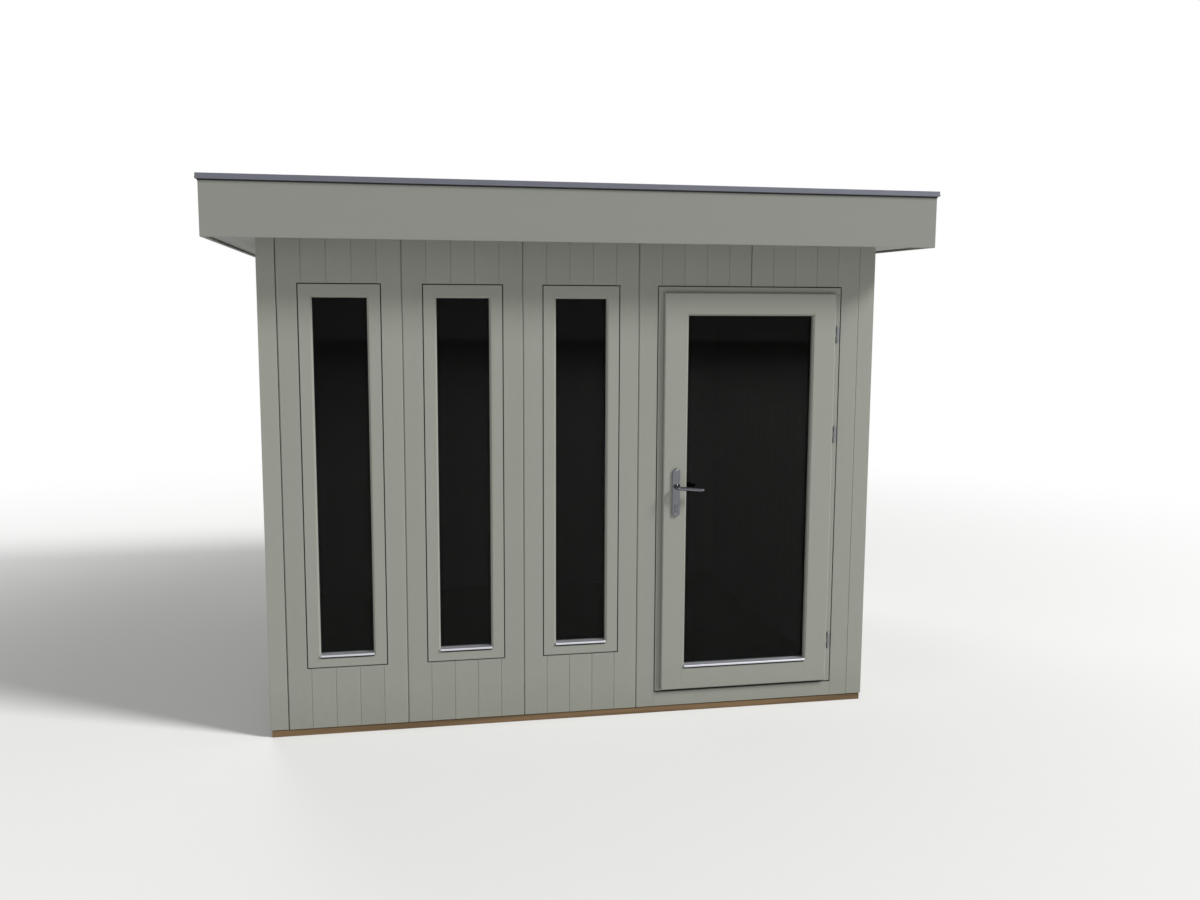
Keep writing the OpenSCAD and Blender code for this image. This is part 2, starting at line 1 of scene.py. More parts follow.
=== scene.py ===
# Garden office pod: boards, joinery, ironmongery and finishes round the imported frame
import math
import random

import bmesh
import bpy
from mathutils import Matrix, Vector


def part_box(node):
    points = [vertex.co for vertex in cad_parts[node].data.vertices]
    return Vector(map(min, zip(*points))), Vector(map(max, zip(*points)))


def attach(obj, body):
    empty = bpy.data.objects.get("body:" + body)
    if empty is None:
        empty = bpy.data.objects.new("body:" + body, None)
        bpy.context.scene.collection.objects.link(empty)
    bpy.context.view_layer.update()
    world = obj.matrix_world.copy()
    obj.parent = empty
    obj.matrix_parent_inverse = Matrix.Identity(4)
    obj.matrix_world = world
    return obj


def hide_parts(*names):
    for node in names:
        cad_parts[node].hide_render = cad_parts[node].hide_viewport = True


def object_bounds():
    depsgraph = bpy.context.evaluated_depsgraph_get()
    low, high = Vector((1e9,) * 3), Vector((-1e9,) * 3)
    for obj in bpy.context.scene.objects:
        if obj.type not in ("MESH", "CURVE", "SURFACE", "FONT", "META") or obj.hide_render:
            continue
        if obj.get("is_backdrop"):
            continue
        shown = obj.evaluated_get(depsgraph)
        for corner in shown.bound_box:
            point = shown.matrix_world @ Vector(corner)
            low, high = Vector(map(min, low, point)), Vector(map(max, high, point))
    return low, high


mm = 0.001
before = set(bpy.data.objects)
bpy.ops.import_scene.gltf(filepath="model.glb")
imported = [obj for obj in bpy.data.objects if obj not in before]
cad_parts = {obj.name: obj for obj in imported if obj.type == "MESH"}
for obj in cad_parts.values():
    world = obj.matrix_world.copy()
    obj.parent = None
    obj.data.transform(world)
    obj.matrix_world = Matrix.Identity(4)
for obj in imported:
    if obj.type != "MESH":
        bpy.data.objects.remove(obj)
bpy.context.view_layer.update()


# Mesh helpers
def addBlock(bm, low, high):
    low, high = Vector(low), Vector(high)
    verts = bmesh.ops.create_cube(bm, size=1.0)["verts"]
    bmesh.ops.scale(bm, vec=high - low, verts=verts)
    bmesh.ops.translate(bm, vec=(low + high) / 2, verts=verts)


def addBar(bm, outline, axis, start, end):
    # an outline in the two other axes, run along this one
    place = {
        "x": lambda a, b: (start, a, b),
        "y": lambda a, b: (a, start, b),
        "z": lambda a, b: (a, b, start),
    }[axis]
    run = Vector([float(axis == name) for name in "xyz"]) * (end - start)
    face = bm.faces.new([bm.verts.new(place(a, b)) for a, b in outline])
    grown = bmesh.ops.extrude_face_region(bm, geom=[face])["geom"]
    bmesh.ops.translate(bm, vec=run, verts=[g for g in grown if isinstance(g, bmesh.types.BMVert)])


def easeEdges(bm, width, segments=2, limit=28, pick=None):
    # takes the sharpness off the outer edges
    bmesh.ops.recalc_face_normals(bm, faces=bm.faces)
    bm.normal_update()
    sharp = [e for e in bm.edges if e.is_manifold and e.calc_face_angle_signed() > math.radians(limit)]
    edges = [e for e in sharp if pick is None or pick(e)]
    bmesh.ops.bevel(
        bm, geom=edges, offset=width, segments=segments, affect="EDGES",
        profile=0.5, material=-1, clamp_overlap=False,
    )


def cutOff(bm, point, normal):
    # takes away what lies beyond a plane and closes the cut
    bmesh.ops.bisect_plane(
        bm, geom=bm.verts[:] + bm.edges[:] + bm.faces[:], dist=1e-7,
        plane_co=point, plane_no=normal, clear_outer=True,
    )
    bmesh.ops.holes_fill(bm, edges=[e for e in bm.edges if e.is_boundary], sides=0)


def absorb(bm, part):
    carrier = bpy.data.meshes.new("carrier")
    part.to_mesh(carrier)
    part.free()
    bm.from_mesh(carrier)
    bpy.data.meshes.remove(carrier)


def looseParts(bm):
    left, parts = set(bm.verts), []
    for first in bm.verts:
        if first not in left:
            continue
        left.discard(first)
        part, open_ = [first], [first]
        while open_:
            for edge in open_.pop().link_edges:
                for vert in edge.verts:
                    if vert in left:
                        left.discard(vert)
                        part.append(vert)
                        open_.append(vert)
        parts.append(part)
    return parts


def boxOf(verts):
    spans = list(zip(*(v.co for v in verts)))
    return Vector([min(s) for s in spans]), Vector([max(s) for s in spans])


def cadMesh(node):
    # a merged copy of a node's loose triangles, with its flat faces whole again
    bm = bmesh.new()
    bm.from_mesh(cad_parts[node].data)
    bmesh.ops.remove_doubles(bm, verts=bm.verts, dist=2e-6)
    bmesh.ops.dissolve_limit(bm, angle_limit=math.radians(0.5), verts=bm.verts, edges=bm.edges)
    return bm


def solidBoxes(node):
    # the box of each separate solid of a node, from left to right and from the ground up
    bm = cadMesh(node)
    boxes = [boxOf(part) for part in looseParts(bm)]
    bm.free()
    return sorted(boxes, key=lambda b: (round(b[0].x, 3), round(b[0].z, 3)))


def markParts(bm, seed):
    # one random value for each separate part, which shifts the grain from board to board
    layer = bm.verts.layers.float.get("partShade") or bm.verts.layers.float.new("partShade")
    draw = random.Random(seed)
    for part in sorted(looseParts(bm), key=lambda verts: [round(c, 3) for c in boxOf(verts)[0]]):
        value = draw.random()
        for vert in part:
            vert[layer] = value


def carved(bm, holes):
    # the mesh with the holes taken out of it
    made = []
    for label, part in (("body", bm), ("holes", holes)):
        mesh = bpy.data.meshes.new(label)
        bmesh.ops.recalc_face_normals(part, faces=part.faces)
        part.to_mesh(mesh)
        part.free()
        made.append(bpy.data.objects.new(label, mesh))
        bpy.context.scene.collection.objects.link(made[-1])
    cut = made[0].modifiers.new("cut", "BOOLEAN")
    cut.operation, cut.solver, cut.object = "DIFFERENCE", "EXACT", made[1]
    bpy.context.view_layer.update()
    left = made[0].evaluated_get(bpy.context.evaluated_depsgraph_get())
    result = bmesh.new()
    result.from_mesh(left.to_mesh())
    left.to_mesh_clear()
    for obj in made:
        mesh = obj.data
        bpy.data.objects.remove(obj)
        bpy.data.meshes.remove(mesh)
    return result


def makePiece(name, bm, material, body="pod", replaces=(), smooth=30):
    bmesh.ops.recalc_face_normals(bm, faces=bm.faces)
    mesh = bpy.data.meshes.new(name)
    bm.to_mesh(mesh)
    bm.free()
    mesh.shade_smooth()
    mesh.set_sharp_from_angle(angle=math.radians(smooth))
    mesh.materials.append(material)
    piece = bpy.data.objects.new(name, mesh)
    bpy.context.scene.collection.objects.link(piece)
    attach(piece, body)
    even = piece.modifiers.new("evenNormals", "WEIGHTED_NORMAL")
    even.keep_sharp = True
    if replaces:
        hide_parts(*replaces)


# Shader helpers
def feed(tree, sockets, values):
    # links or sets each named input
    for name, value in dict(values).items():
        if isinstance(value, bpy.types.NodeSocket):
            tree.links.new(value, sockets[name])
        else:
            sockets[name].default_value = value


def addNode(tree, kind, inputs=(), **settings):
    node = tree.nodes.new(kind)
    for name, value in settings.items():
        setattr(node, name, value)
    feed(tree, node.inputs, inputs)
    return node


def calc(tree, operation, *values, clamp=False):
    node = addNode(tree, "ShaderNodeMath", enumerate(values), operation=operation, use_clamp=clamp)
    return node.outputs[0]


def swing(tree, value, amount, base, clamp=False):
    # moves a base value up and down with a value that lies about a half
    return calc(tree, "MULTIPLY_ADD", calc(tree, "SUBTRACT", value, 0.5), amount, base, clamp=clamp)


def remap(tree, value, low, high, toLow=0.0, toHigh=1.0, smooth=False):
    node = addNode(tree, "ShaderNodeMapRange", {
        "Value": value, "From Min": low, "From Max": high, "To Min": toLow, "To Max": toHigh,
    }, interpolation_type="SMOOTHSTEP" if smooth else "LINEAR")
    return node.outputs["Result"]


def blendColours(tree, share, first, second):
    node = addNode(tree, "ShaderNodeMix", data_type="RGBA")
    feed(tree, node.inputs, {0: share, 6: first, 7: second})
    return node.outputs[2]


def changeValue(tree, colour, value):
    node = addNode(tree, "ShaderNodeHueSaturation", {"Color": colour, "Value": value})
    return node.outputs["Color"]


def noiseAt(tree, vector, scale, detail=3.0, roughness=0.5, distortion=0.0):
    node = addNode(tree, "ShaderNodeTexNoise", {
        "Vector": vector, "Scale": scale, "Detail": detail,
        "Roughness": roughness, "Distortion": distortion,
    })
    return node.outputs["Fac"]


def stretched(tree, vector, stretch):
    node = addNode(tree, "ShaderNodeVectorMath", {0: vector, 1: stretch}, operation="MULTIPLY")
    return node.outputs[0]


def objectPlace(tree):
    return addNode(tree, "ShaderNodeTexCoord").outputs["Object"]


def partVector(tree):
    # object coordinates, shifted for each board
    place = objectPlace(tree)
    shade = addNode(tree, "ShaderNodeAttribute", attribute_name="partShade").outputs["Fac"]
    apart = (37.0, 23.0, 51.0)
    shift = addNode(tree, "ShaderNodeVectorMath", {0: apart, "Scale": shade}, operation="SCALE")
    moved = addNode(tree, "ShaderNodeVectorMath", {0: place, 1: shift.outputs[0]}, operation="ADD")
    return place, moved.outputs[0], shade


def startGroup(name, inputs, outputs):
    tree = bpy.data.node_groups.new(name, "ShaderNodeTree")
    for label, kind, value in inputs:
        socket = tree.interface.new_socket(name=label, in_out="INPUT", socket_type="NodeSocket" + kind)
        socket.default_value = value
    for label, kind in outputs:
        tree.interface.new_socket(name=label, in_out="OUTPUT", socket_type="NodeSocket" + kind)
    return tree, tree.nodes.new("NodeGroupInput").outputs, tree.nodes.new("NodeGroupOutput").inputs


def useGroup(tree, group, inputs=()):
    return addNode(tree, "ShaderNodeGroup", inputs, node_tree=group).outputs


def startMaterial(name, **constants):
    material = bpy.data.materials.new(name)
    material.use_nodes = True
    tree = material.node_tree
    shader = next(n for n in tree.nodes if n.type == "BSDF_PRINCIPLED")
    for label, value in constants.items():
        shader.inputs[label].default_value = value
    return material, tree, shader


def finishSurface(tree, shader, colour, roughness, height, strength, distance):
    bump = addNode(tree, "ShaderNodeBump", {"Height": height, "Strength": strength, "Distance": distance})
    normal = bump.outputs["Normal"]
    feed(tree, shader.inputs, {"Base Color": colour, "Roughness": roughness, "Normal": normal})


def fromHex(text):
    # a colour written as it looks on a screen, as linear values
    parts = [int(text[i:i + 2], 16) / 255 for i in (0, 2, 4)]
    return (*[c / 12.92 if c <= 0.04045 else ((c + 0.055) / 1.055) ** 2.4 for c in parts], 1.0)


# Shared effects
def buildBrushedPaint():
    # brushed paint over softwood: grain, brush marks, a little shading from board to board
    tree, given, out = startGroup(
        "brushedPaint",
        [("Color", "Color", (0.5, 0.5, 0.5, 1)), ("Stretch", "Vector", (1, 1, 0.02)),
         ("Variation", "Float", 0.03), ("Roughness", "Float", 0.5)],
        [("Color", "Color"), ("Roughness", "Float"), ("Height", "Float")],
    )
    place, moved, shade = partVector(tree)
    along = stretched(tree, moved, given["Stretch"])
    grain = noiseAt(tree, along, 240, 5, 0.62, 0.4)
    brush = noiseAt(tree, along, 900, 2, 0.5)
    streak = noiseAt(tree, along, 28, 2, 0.5, 0.6)
    patch = noiseAt(tree, place, 1.7, 3, 0.55)
    wander = swing(tree, streak, 1.0, calc(tree, "SUBTRACT", patch, 0.5))
    wander = swing(tree, shade, 0.9, swing(tree, grain, 0.5, wander))
    value = calc(tree, "MULTIPLY_ADD", wander, given["Variation"], 1.0)
    rough = swing(tree, streak, 0.16, given["Roughness"])
    rough = swing(tree, brush, 0.10, rough, clamp=True)
    height = calc(tree, "MULTIPLY_ADD", brush, 0.25, calc(tree, "MULTIPLY", grain, 0.75))
    colour = changeValue(tree, given["Color"], value)
    feed(tree, out, {"Color": colour, "Roughness": rough, "Height": height})
    return tree


def buildDustAndJointShade():
    # dust and painted shade in the joints, and rain splash near the ground
    tree, given, out = startGroup(
        "soilingAndJointShade",
        [("Color", "Color", (0.5, 0.5, 0.5, 1)), ("DirtAndShadeTone", "Color", (0.1, 0.09, 0.07, 1)),
         ("JointDustAndShade", "Float", 0.5), ("Splash", "Float", 0.2)],
        [("Color", "Color")],
    )
    place = objectPlace(tree)
    depth = addNode(tree, "ShaderNodeAttribute", attribute_name="jointDepth").outputs["Fac"]
    patch = noiseAt(tree, place, 14, 4, 0.6)
    uneven = remap(tree, patch, 0.2, 0.8, 0.7, 1.0)
    # painted shade and dust, strongest deep in a joint
    joint = calc(tree, "MULTIPLY", calc(tree, "MULTIPLY", depth, given["JointDustAndShade"]), uneven)
    height = addNode(tree, "ShaderNodeSeparateXYZ", {"Vector": place}).outputs["Z"]
    edge = calc(tree, "MULTIPLY_ADD", noiseAt(tree, place, 6, 3, 0.6), 0.35, 0.05)
    low = calc(tree, "SUBTRACT", 1.0, calc(tree, "DIVIDE", height, edge), clamp=True)
    specks = remap(tree, noiseAt(tree, place, 160, 3, 0.7), 0.42, 0.62, 0.35, 1.0)
    splash = calc(tree, "MULTIPLY", calc(tree, "MULTIPLY", low, given["Splash"]), specks)
    share = calc(tree, "ADD", joint, splash, clamp=True)
    feed(tree, out, {"Color": blendColours(tree, share, given["Color"], given["DirtAndShadeTone"])})
    return tree


def buildTimberGrain():
    # bare timber: growth rings and fibres, with tone that wanders from part to part
    tree, given, out = startGroup(
        "timberGrain",
        [("Light", "Color", (0.5, 0.35, 0.2, 1)), ("Dark", "Color", (0.3, 0.2, 0.1, 1)),
         ("Stretch", "Vector", (0.05, 1, 1)), ("Variation", "Float", 0.2)],
        [("Color", "Color"), ("Height", "Float")],
    )
    place, moved, shade = partVector(tree)
    along = stretched(tree, moved, given["Stretch"])
    bend = noiseAt(tree, along, 5, 3, 0.6)
    rings = calc(tree, "SINE", calc(tree, "MULTIPLY", bend, 95.0))
    fibre = noiseAt(tree, along, 420, 4, 0.65)
    share = calc(tree, "MULTIPLY_ADD", rings, 0.22, calc(tree, "MULTIPLY", fibre, 0.9), clamp=True)
    colour = blendColours(tree, share, given["Light"], given["Dark"])
    value = swing(tree, shade, given["Variation"], 1.0)
    value = swing(tree, noiseAt(tree, place, 3.1, 3, 0.6), given["Variation"], value)
    feed(tree, out, {"Color": changeValue(tree, colour, value), "Height": share})
    return tree


def buildMetalTouch():
    # fine lines along a metal part, and the marks of hands and rain on it
    tree, given, out = startGroup(
        "metalTouch",
        [("Color", "Color", (0.7, 0.7, 0.7, 1)), ("Stretch", "Vector", (0.02, 1, 1)),
         ("Roughness", "Float", 0.3), ("Marks", "Float", 0.1)],
        [("Color", "Color"), ("Roughness", "Float"), ("Height", "Float")],
    )
    place = objectPlace(tree)
    lines = noiseAt(tree, stretched(tree, place, given["Stretch"]), 1500, 2, 0.6)
    smear = noiseAt(tree, place, 38, 4, 0.6, 0.5)
    mark = remap(tree, smear, 0.48, 0.72)
    rough = swing(tree, lines, 0.12, given["Roughness"])
    rough = calc(tree, "MULTIPLY_ADD", mark, given["Marks"], rough, clamp=True)
    dull = calc(tree, "SUBTRACT", 1.0, calc(tree, "MULTIPLY", mark, given["Marks"]))
    colour = changeValue(tree, given["Color"], dull)
    feed(tree, out, {"Color": colour, "Roughness": rough, "Height": lines})
    return tree


brushedPaint = buildBrushedPaint()
soilingAndJointShade = buildDustAndJointShade()
timberGrain = buildTimberGrain()
metalTouch = buildMetalTouch()
upright, acrossX, acrossY = (1.0, 1.0, 0.022), (0.022, 1.0, 1.0), (1.0, 0.022, 1.0)


# Finishes
def paintMaterial(
    name, tone, stretch, roughness=0.48, variation=0.05, bump=0.4, joint=0.35, splash=0.22,
):
    material, tree, shader = startMaterial(name, IOR=1.46)
    paint = useGroup(tree, brushedPaint, {
        "Color": fromHex(tone), "Stretch": stretch, "Variation": variation, "Roughness": roughness,
    })
    # joint sets the dust and painted shade in the joints, splash the rain splash low down
    soiledAndShaded = useGroup(tree, soilingAndJointShade, {
        "Color": paint["Color"], "DirtAndShadeTone": fromHex("4a4438"), "JointDustAndShade": joint, "Splash": splash,
    })
    finishSurface(tree, shader, soiledAndShaded["Color"], paint["Roughness"], paint["Height"], bump, 0.35 * mm)
    return material


def timberMaterial(name, light, dark, stretch, roughness, variation=0.2, bump=0.5):
    material, tree, shader = startMaterial(name, Roughness=roughness)
    grain = useGroup(tree, timberGrain, {
        "Light": fromHex(light), "Dark": fromHex(dark), "Stretch": stretch, "Variation": variation,
    })
    rough = remap(tree, grain["Height"], 0.0, 1.0, roughness - 0.08, roughness + 0.08)
    finishSurface(tree, shader, grain["Color"], rough, grain["Height"], bump, 0.5 * mm)
    return material


def metalMaterial(name, tone, stretch, roughness, marks=0.08, metallic=1.0, bump=0.12):
    material, tree, shader = startMaterial(name, Metallic=metallic)
    touch = useGroup(tree, metalTouch, {
        "Color": fromHex(tone), "Stretch": stretch, "Roughness": roughness, "Marks": marks,
    })
    finishSurface(tree, shader, touch["Color"], touch["Roughness"], touch["Height"], bump, 0.05 * mm)
    return material


def glassMaterial(name, colour):
    # dark glass with a trace of dust and dried rain
    material, tree, shader = startMaterial(name, IOR=1.18)
    shader.inputs["Transmission Weight"].default_value = 1.0
    place = objectPlace(tree)
    film = remap(tree, noiseAt(tree, stretched(tree, place, (1.0, 1.0, 0.3)), 9, 4, 0.6), 0.45, 0.75)
    spots = remap(tree, noiseAt(tree, place, 210, 2, 0.5), 0.66, 0.74)
    share = calc(tree, "MULTIPLY_ADD", spots, 0.05, calc(tree, "MULTIPLY", film, 0.03))
    tint = blendColours(tree, share, colour, fromHex("8c8a80"))
    wave = noiseAt(tree, place, 3.2, 1, 0.4)
    finishSurface(tree, shader, tint, calc(tree, "MULTIPLY", share, 0.5), wave, 0.02, 2 * mm)
    return material


def sheetMaterial(name):
    # rubber roof sheet with dust, and rings where water has dried
    material, tree, shader = startMaterial(name)
    place = objectPlace(tree)
    dust = remap(tree, noiseAt(tree, place, 2.4, 5, 0.62, 0.4), 0.35, 0.75)
    fine = noiseAt(tree, place, 260, 3, 0.6)
    ring = calc(tree, "ABSOLUTE", calc(tree, "SUBTRACT", noiseAt(tree, place, 1.1, 2, 0.5), 0.55))
    ring = remap(tree, ring, 0.0, 0.02, 1.0, 0.0)
    share = calc(tree, "MULTIPLY_ADD", ring, 0.12, calc(tree, "MULTIPLY", dust, 0.32))
    share = calc(tree, "MULTIPLY_ADD", fine, 0.06, share, clamp=True)
    tint = blendColours(tree, share, fromHex("37383b"), fromHex("8d8a83"))
    rough = remap(tree, dust, 0.0, 1.0, 0.62, 0.85)
    height = calc(tree, "MULTIPLY_ADD", fine, 0.2, noiseAt(tree, place, 5, 2, 0.5))
    finishSurface(tree, shader, tint, rough, height, 0.3, 2 * mm)
    return material


def wrapMaterial(name, tone):
    # dark breather wrap over the wall frame, which shows only in the open joints; its darkness there also
    # stands for painted shade
    material, tree, shader = startMaterial(name)
    place = objectPlace(tree)
    weave = noiseAt(tree, place, 700, 2, 0.6)
    dust = noiseAt(tree, place, 9, 3, 0.6)
    share = calc(tree, "MULTIPLY_ADD", dust, 0.35, calc(tree, "MULTIPLY", weave, 0.2), clamp=True)
    tint = blendColours(tree, share, fromHex(tone), fromHex("6b675e"))
    finishSurface(tree, shader, tint, remap(tree, weave, 0.3, 0.7, 0.6, 0.8), weave, 0.2, 0.2 * mm)
    return material


def rubberMaterial(name, tone):
    material, tree, shader = startMaterial(name)
    place = objectPlace(tree)
    fine = noiseAt(tree, place, 120, 3, 0.6)
    share = remap(tree, fine, 0.4, 0.8, 0.0, 0.2)
    tint = blendColours(tree, share, fromHex(tone), fromHex("5a5852"))
    finishSurface(tree, shader, tint, remap(tree, fine, 0.3, 0.7, 0.55, 0.75), fine, 0.1, 0.2 * mm)
    return material


boardPaint = paintMaterial("boardPaint", "8c8e85", upright)
uprightPaint = paintMaterial("uprightPaint", "8e9087", upright, 0.44, 0.015, 0.25, 0.35)
levelPaint = paintMaterial("levelPaint", "8e9087", acrossX, 0.44, 0.015, 0.25, 0.35)
# the fascia and soffit paint is the board paint made darker, as painted shade
shadedFasciaPaint = paintMaterial("shadedFasciaPaint", "81837c", acrossX, 0.44, 0.02, 0.25, 0.35)
shadedFasciaPaintY = paintMaterial("shadedFasciaPaintY", "81837c", acrossY, 0.44, 0.02, 0.25, 0.35)
liningPaint = paintMaterial("liningPaint", "e2dfd4", upright, 0.55, 0.03, 0.2, 0.4, 0.0)
ceilingPaint = paintMaterial("ceilingPaint", "e6e4dc", acrossX, 0.6, 0.02, 0.15, 0.0, 0.0)
treated, pine = ("7c6343", "4d3a24"), ("d8bd8c", "a9834f")
treatedX = timberMaterial("treatedX", *treated, acrossX, 0.78)
treatedY = timberMaterial("treatedY", *treated, acrossY, 0.78)
timberX = timberMaterial("timberX", *pine, acrossX, 0.7)
timberZ = timberMaterial("timberZ", *pine, upright, 0.7)
plankWood = timberMaterial("plankWood", "ab8659", "74532f", acrossX, 0.42, 0.22, 0.2)
darkGlass = glassMaterial("darkGlass", (0.34, 0.36, 0.35, 1))
barMetal = metalMaterial("barMetal", "dcdee4", acrossX, 0.48, 0.06, 0.88, 0.03)
# the handle's chrome is made dark, as a painted reflection of dark surroundings
handleMetalPaintedDark = metalMaterial("handleMetalPaintedDark", "74757a", upright, 0.08, 0.05, 1.0, 0.03)
hingeSteel = metalMaterial("hingeSteel", "8d8f92", upright, 0.38, 0.12)
screwSteel = metalMaterial("screwSteel", "a4a6a8", (1, 1, 1), 0.3, 0.12)
trimMetal = metalMaterial("trimMetal", "82848f", (0.2, 0.2, 1.0), 0.36, 0.10, 0.85)
sheetRubber = sheetMaterial("sheetRubber")
wallWrapAndGapShade = wrapMaterial("wallWrapAndGapShade", "2c2d2e")
rubberAndPaintedShade = rubberMaterial("rubberAndPaintedShade", "1d1d1e")
spacerDark = rubberMaterial("spacerDark", "3a3b3d")
print("finishes ready:", len(bpy.data.materials))


# Cladding and lining boards
x, y, z = Vector((1, 0, 0)), Vector((0, 1, 0)), Vector((0, 0, 1))
windowBoxes = solidBoxes("window_frames")
jambs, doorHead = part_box("door_jambs"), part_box("door_head")
frontLow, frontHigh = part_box("front_cladding")
liningLow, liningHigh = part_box("front_lining")

cladding = {
    "gap": 0.5 * mm, "chamfer": 2.0 * mm, "depth": 1.4 * mm,
    "bayGap": 1.4 * mm, "bayChamfer": 4.6 * mm, "bayDepth": 3.6 * mm, "endGap": (2.2 * mm, 0.5 * mm),
    "tongueFront": 6.5 * mm, "tongueBack": 12.0 * mm, "grip": 1.6 * mm, "ease": 0.5 * mm,
    "bays": {0, 5, 10, 15, 20}, "frontCount": 25, "sideCount": 20, "shadowGap": 5 * mm,
    "thick": frontHigh.y - frontLow.y, "jointDustAndShadeDepth": 2 * mm, "paint": boardPaint, "slot": "painted_boards",
}
lining = {
    "gap": 0.6 * mm, "chamfer": 2.2 * mm, "depth": 1.8 * mm,
    "bayGap": 0.6 * mm, "bayChamfer": 2.2 * mm, "bayDepth": 1.8 * mm, "endGap": (0.6 * mm, 0.6 * mm),
    "tongueFront": 4.5 * mm, "tongueBack": 8.0 * mm, "grip": 1.4 * mm, "ease": 0.3 * mm,
    "bays": (), "frontCount": 27, "sideCount": 21, "shadowGap": 0.0,
    "thick": liningHigh.y - liningLow.y, "jointDustAndShadeDepth": 1.5 * mm, "paint": liningPaint, "slot": "lining",
}
tonguePlay = 0.3 * mm
holePast = 0.1  # how far a hole runs past both faces of a wall


def boardOutline(width, boards, leftBay, rightBay, tongue):
    # across one board, from its joint line on the left, with its face at 0
    plain, bay = ([boards[label] for label in labels] for labels in (
        ("gap", "chamfer", "depth"), ("bayGap", "bayChamfer", "bayDepth"),
    ))
    leftGap, leftWide, leftDeep = bay if leftBay else plain
    rightGap, rightWide, rightDeep = bay if rightBay else plain
    a, b, thick = leftGap / 2, width - rightGap / 2, boards["thick"]
    front, back, grip = boards["tongueFront"], boards["tongueBack"], boards["grip"]
    slotEnd = a + grip * 1.5
    points = [
        (a, thick), (a, back + tonguePlay), (slotEnd, back + tonguePlay), (slotEnd, front - tonguePlay),
        (a, front - tonguePlay), (a, leftDeep), (a + leftWide, 0.0), (b - rightWide, 0.0), (b, rightDeep),
    ]
    if tongue:
        tip = b + 2 * (width - b) + grip
        points += [(b, front), (tip, front), (tip, back), (b, back)]
    return points + [(b, thick)]


def boardWall(start, along, inward, run, count, zLow, zHigh, boards):
    bm = bmesh.new()
    pitch, bays, ends = run / count, boards["bays"], boards["endGap"]
    for i in range(count):
        outline = boardOutline(pitch, boards, i in bays, i + 1 in bays, i < count - 1)
        if i in (0, count - 1):
            slip = ends[0] if i == 0 else -ends[1]
            outline = [(u + slip if (u < pitch / 2) == (i == 0) else u, w) for u, w in outline]
        spots = [start + along * (i * pitch + u) + inward * w for u, w in outline]
        addBar(bm, [(p.x, p.y) for p in spots], "z", zLow, zHigh)
    face = start.dot(inward)

    def nearFace(edge):
        first, second = (v.co for v in edge.verts)
        depth = max(first.dot(inward), second.dot(inward)) - face
        return depth < 0.1 * mm and abs(first.z - second.z) > mm

    easeEdges(bm, boards["ease"], 2, 20, nearFace)
    return bm


def shadeAndSoilJoints(bm, start, inward, full):
    # 0 on the face of a board and 1 in its joints, where the dust and painted shade go
    layer = bm.verts.layers.float.new("jointDepth")
    for vert in bm.verts:
        vert[layer] = min(1.0, max(0.0, (vert.co - start).dot(inward) - 0.2 * mm) / full)


def frontHoles(low, high, spare):
    # through a layer of the front wall, at the windows and the door
    holes = bmesh.new()
    for a, b in windowBoxes:
        addBlock(holes, (a.x - spare, low.y - holePast, a.z - spare),
                 (b.x + spare, high.y + holePast, b.z + spare))
    addBlock(holes, (jambs[0].x - spare, low.y - holePast, low.z - holePast),
             (jambs[1].x + spare, high.y + holePast, doorHead[1].z + spare))
    return holes


def addBoards(name, node, boards, seed, *walls):
    # each wall is a corner and a direction, and its back is a quarter turn to the left of that
    low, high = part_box(node)
    pieces = bmesh.new()
    for startX, startY, along in walls:
        start, inward = Vector((startX, startY, 0)), Vector((-along.y, along.x, 0))
        run = high.x - low.x if along.x else high.y - low.y
        count = boards["frontCount"] if along.x else boards["sideCount"]
        wall = boardWall(start, along, inward, run, count, low.z, high.z, boards)
        if node.startswith("front"):
            wall = carved(wall, frontHoles(low, high, boards["shadowGap"]))
        shadeAndSoilJoints(wall, start, inward, boards["jointDustAndShadeDepth"])
        absorb(pieces, wall)
    markParts(pieces, seed)
    makePiece(name, pieces, boards["paint"], replaces=[node])


sideLow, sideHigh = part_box("side_cladding")
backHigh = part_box("back_cladding")[1]
addBoards("front_boards", "front_cladding", cladding, 3, (frontLow.x, frontLow.y, x))
addBoards(
    "side_boards", "side_cladding", cladding, 4, (sideLow.x, sideHigh.y, -y), (sideHigh.x, sideLow.y, y),
)
addBoards("back_boards", "back_cladding", cladding, 5, (backHigh.x, backHigh.y, -x))

# Two boards meet at each corner, with a fine seam between them
cornerTrim = {"ease": 1.8 * mm, "seam": 0.4 * mm}
posts = bmesh.new()
postLow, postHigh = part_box("corner_trims")
for sx in (-1, 1):
    for sy in (-1, 1):
        outer = Vector((sx * postHigh.x, sy * postHigh.y))
        inner = Vector((sx * frontHigh.x, sy * sideHigh.y))
        core = Vector((sx * (postHigh.x - cladding["thick"]), sy * (postHigh.y - cladding["thick"])))
        seam = Vector((outer.x, core.y - sy * cornerTrim["seam"]))
        for a, b in ((outer, Vector((inner.x, core.y))), (seam, Vector((core.x, inner.y)))):
            (left, right), (front, back) = sorted((a.x, b.x)), sorted((a.y, b.y))
            addBlock(posts, (left, front, postLow.z), (right, back, postHigh.z))
easeEdges(posts, cornerTrim["ease"], 3)
markParts(posts, 6)
makePiece("corner_boards", posts, uprightPaint, replaces=["corner_trims"])
print("cladding: front, sides, back and corners")


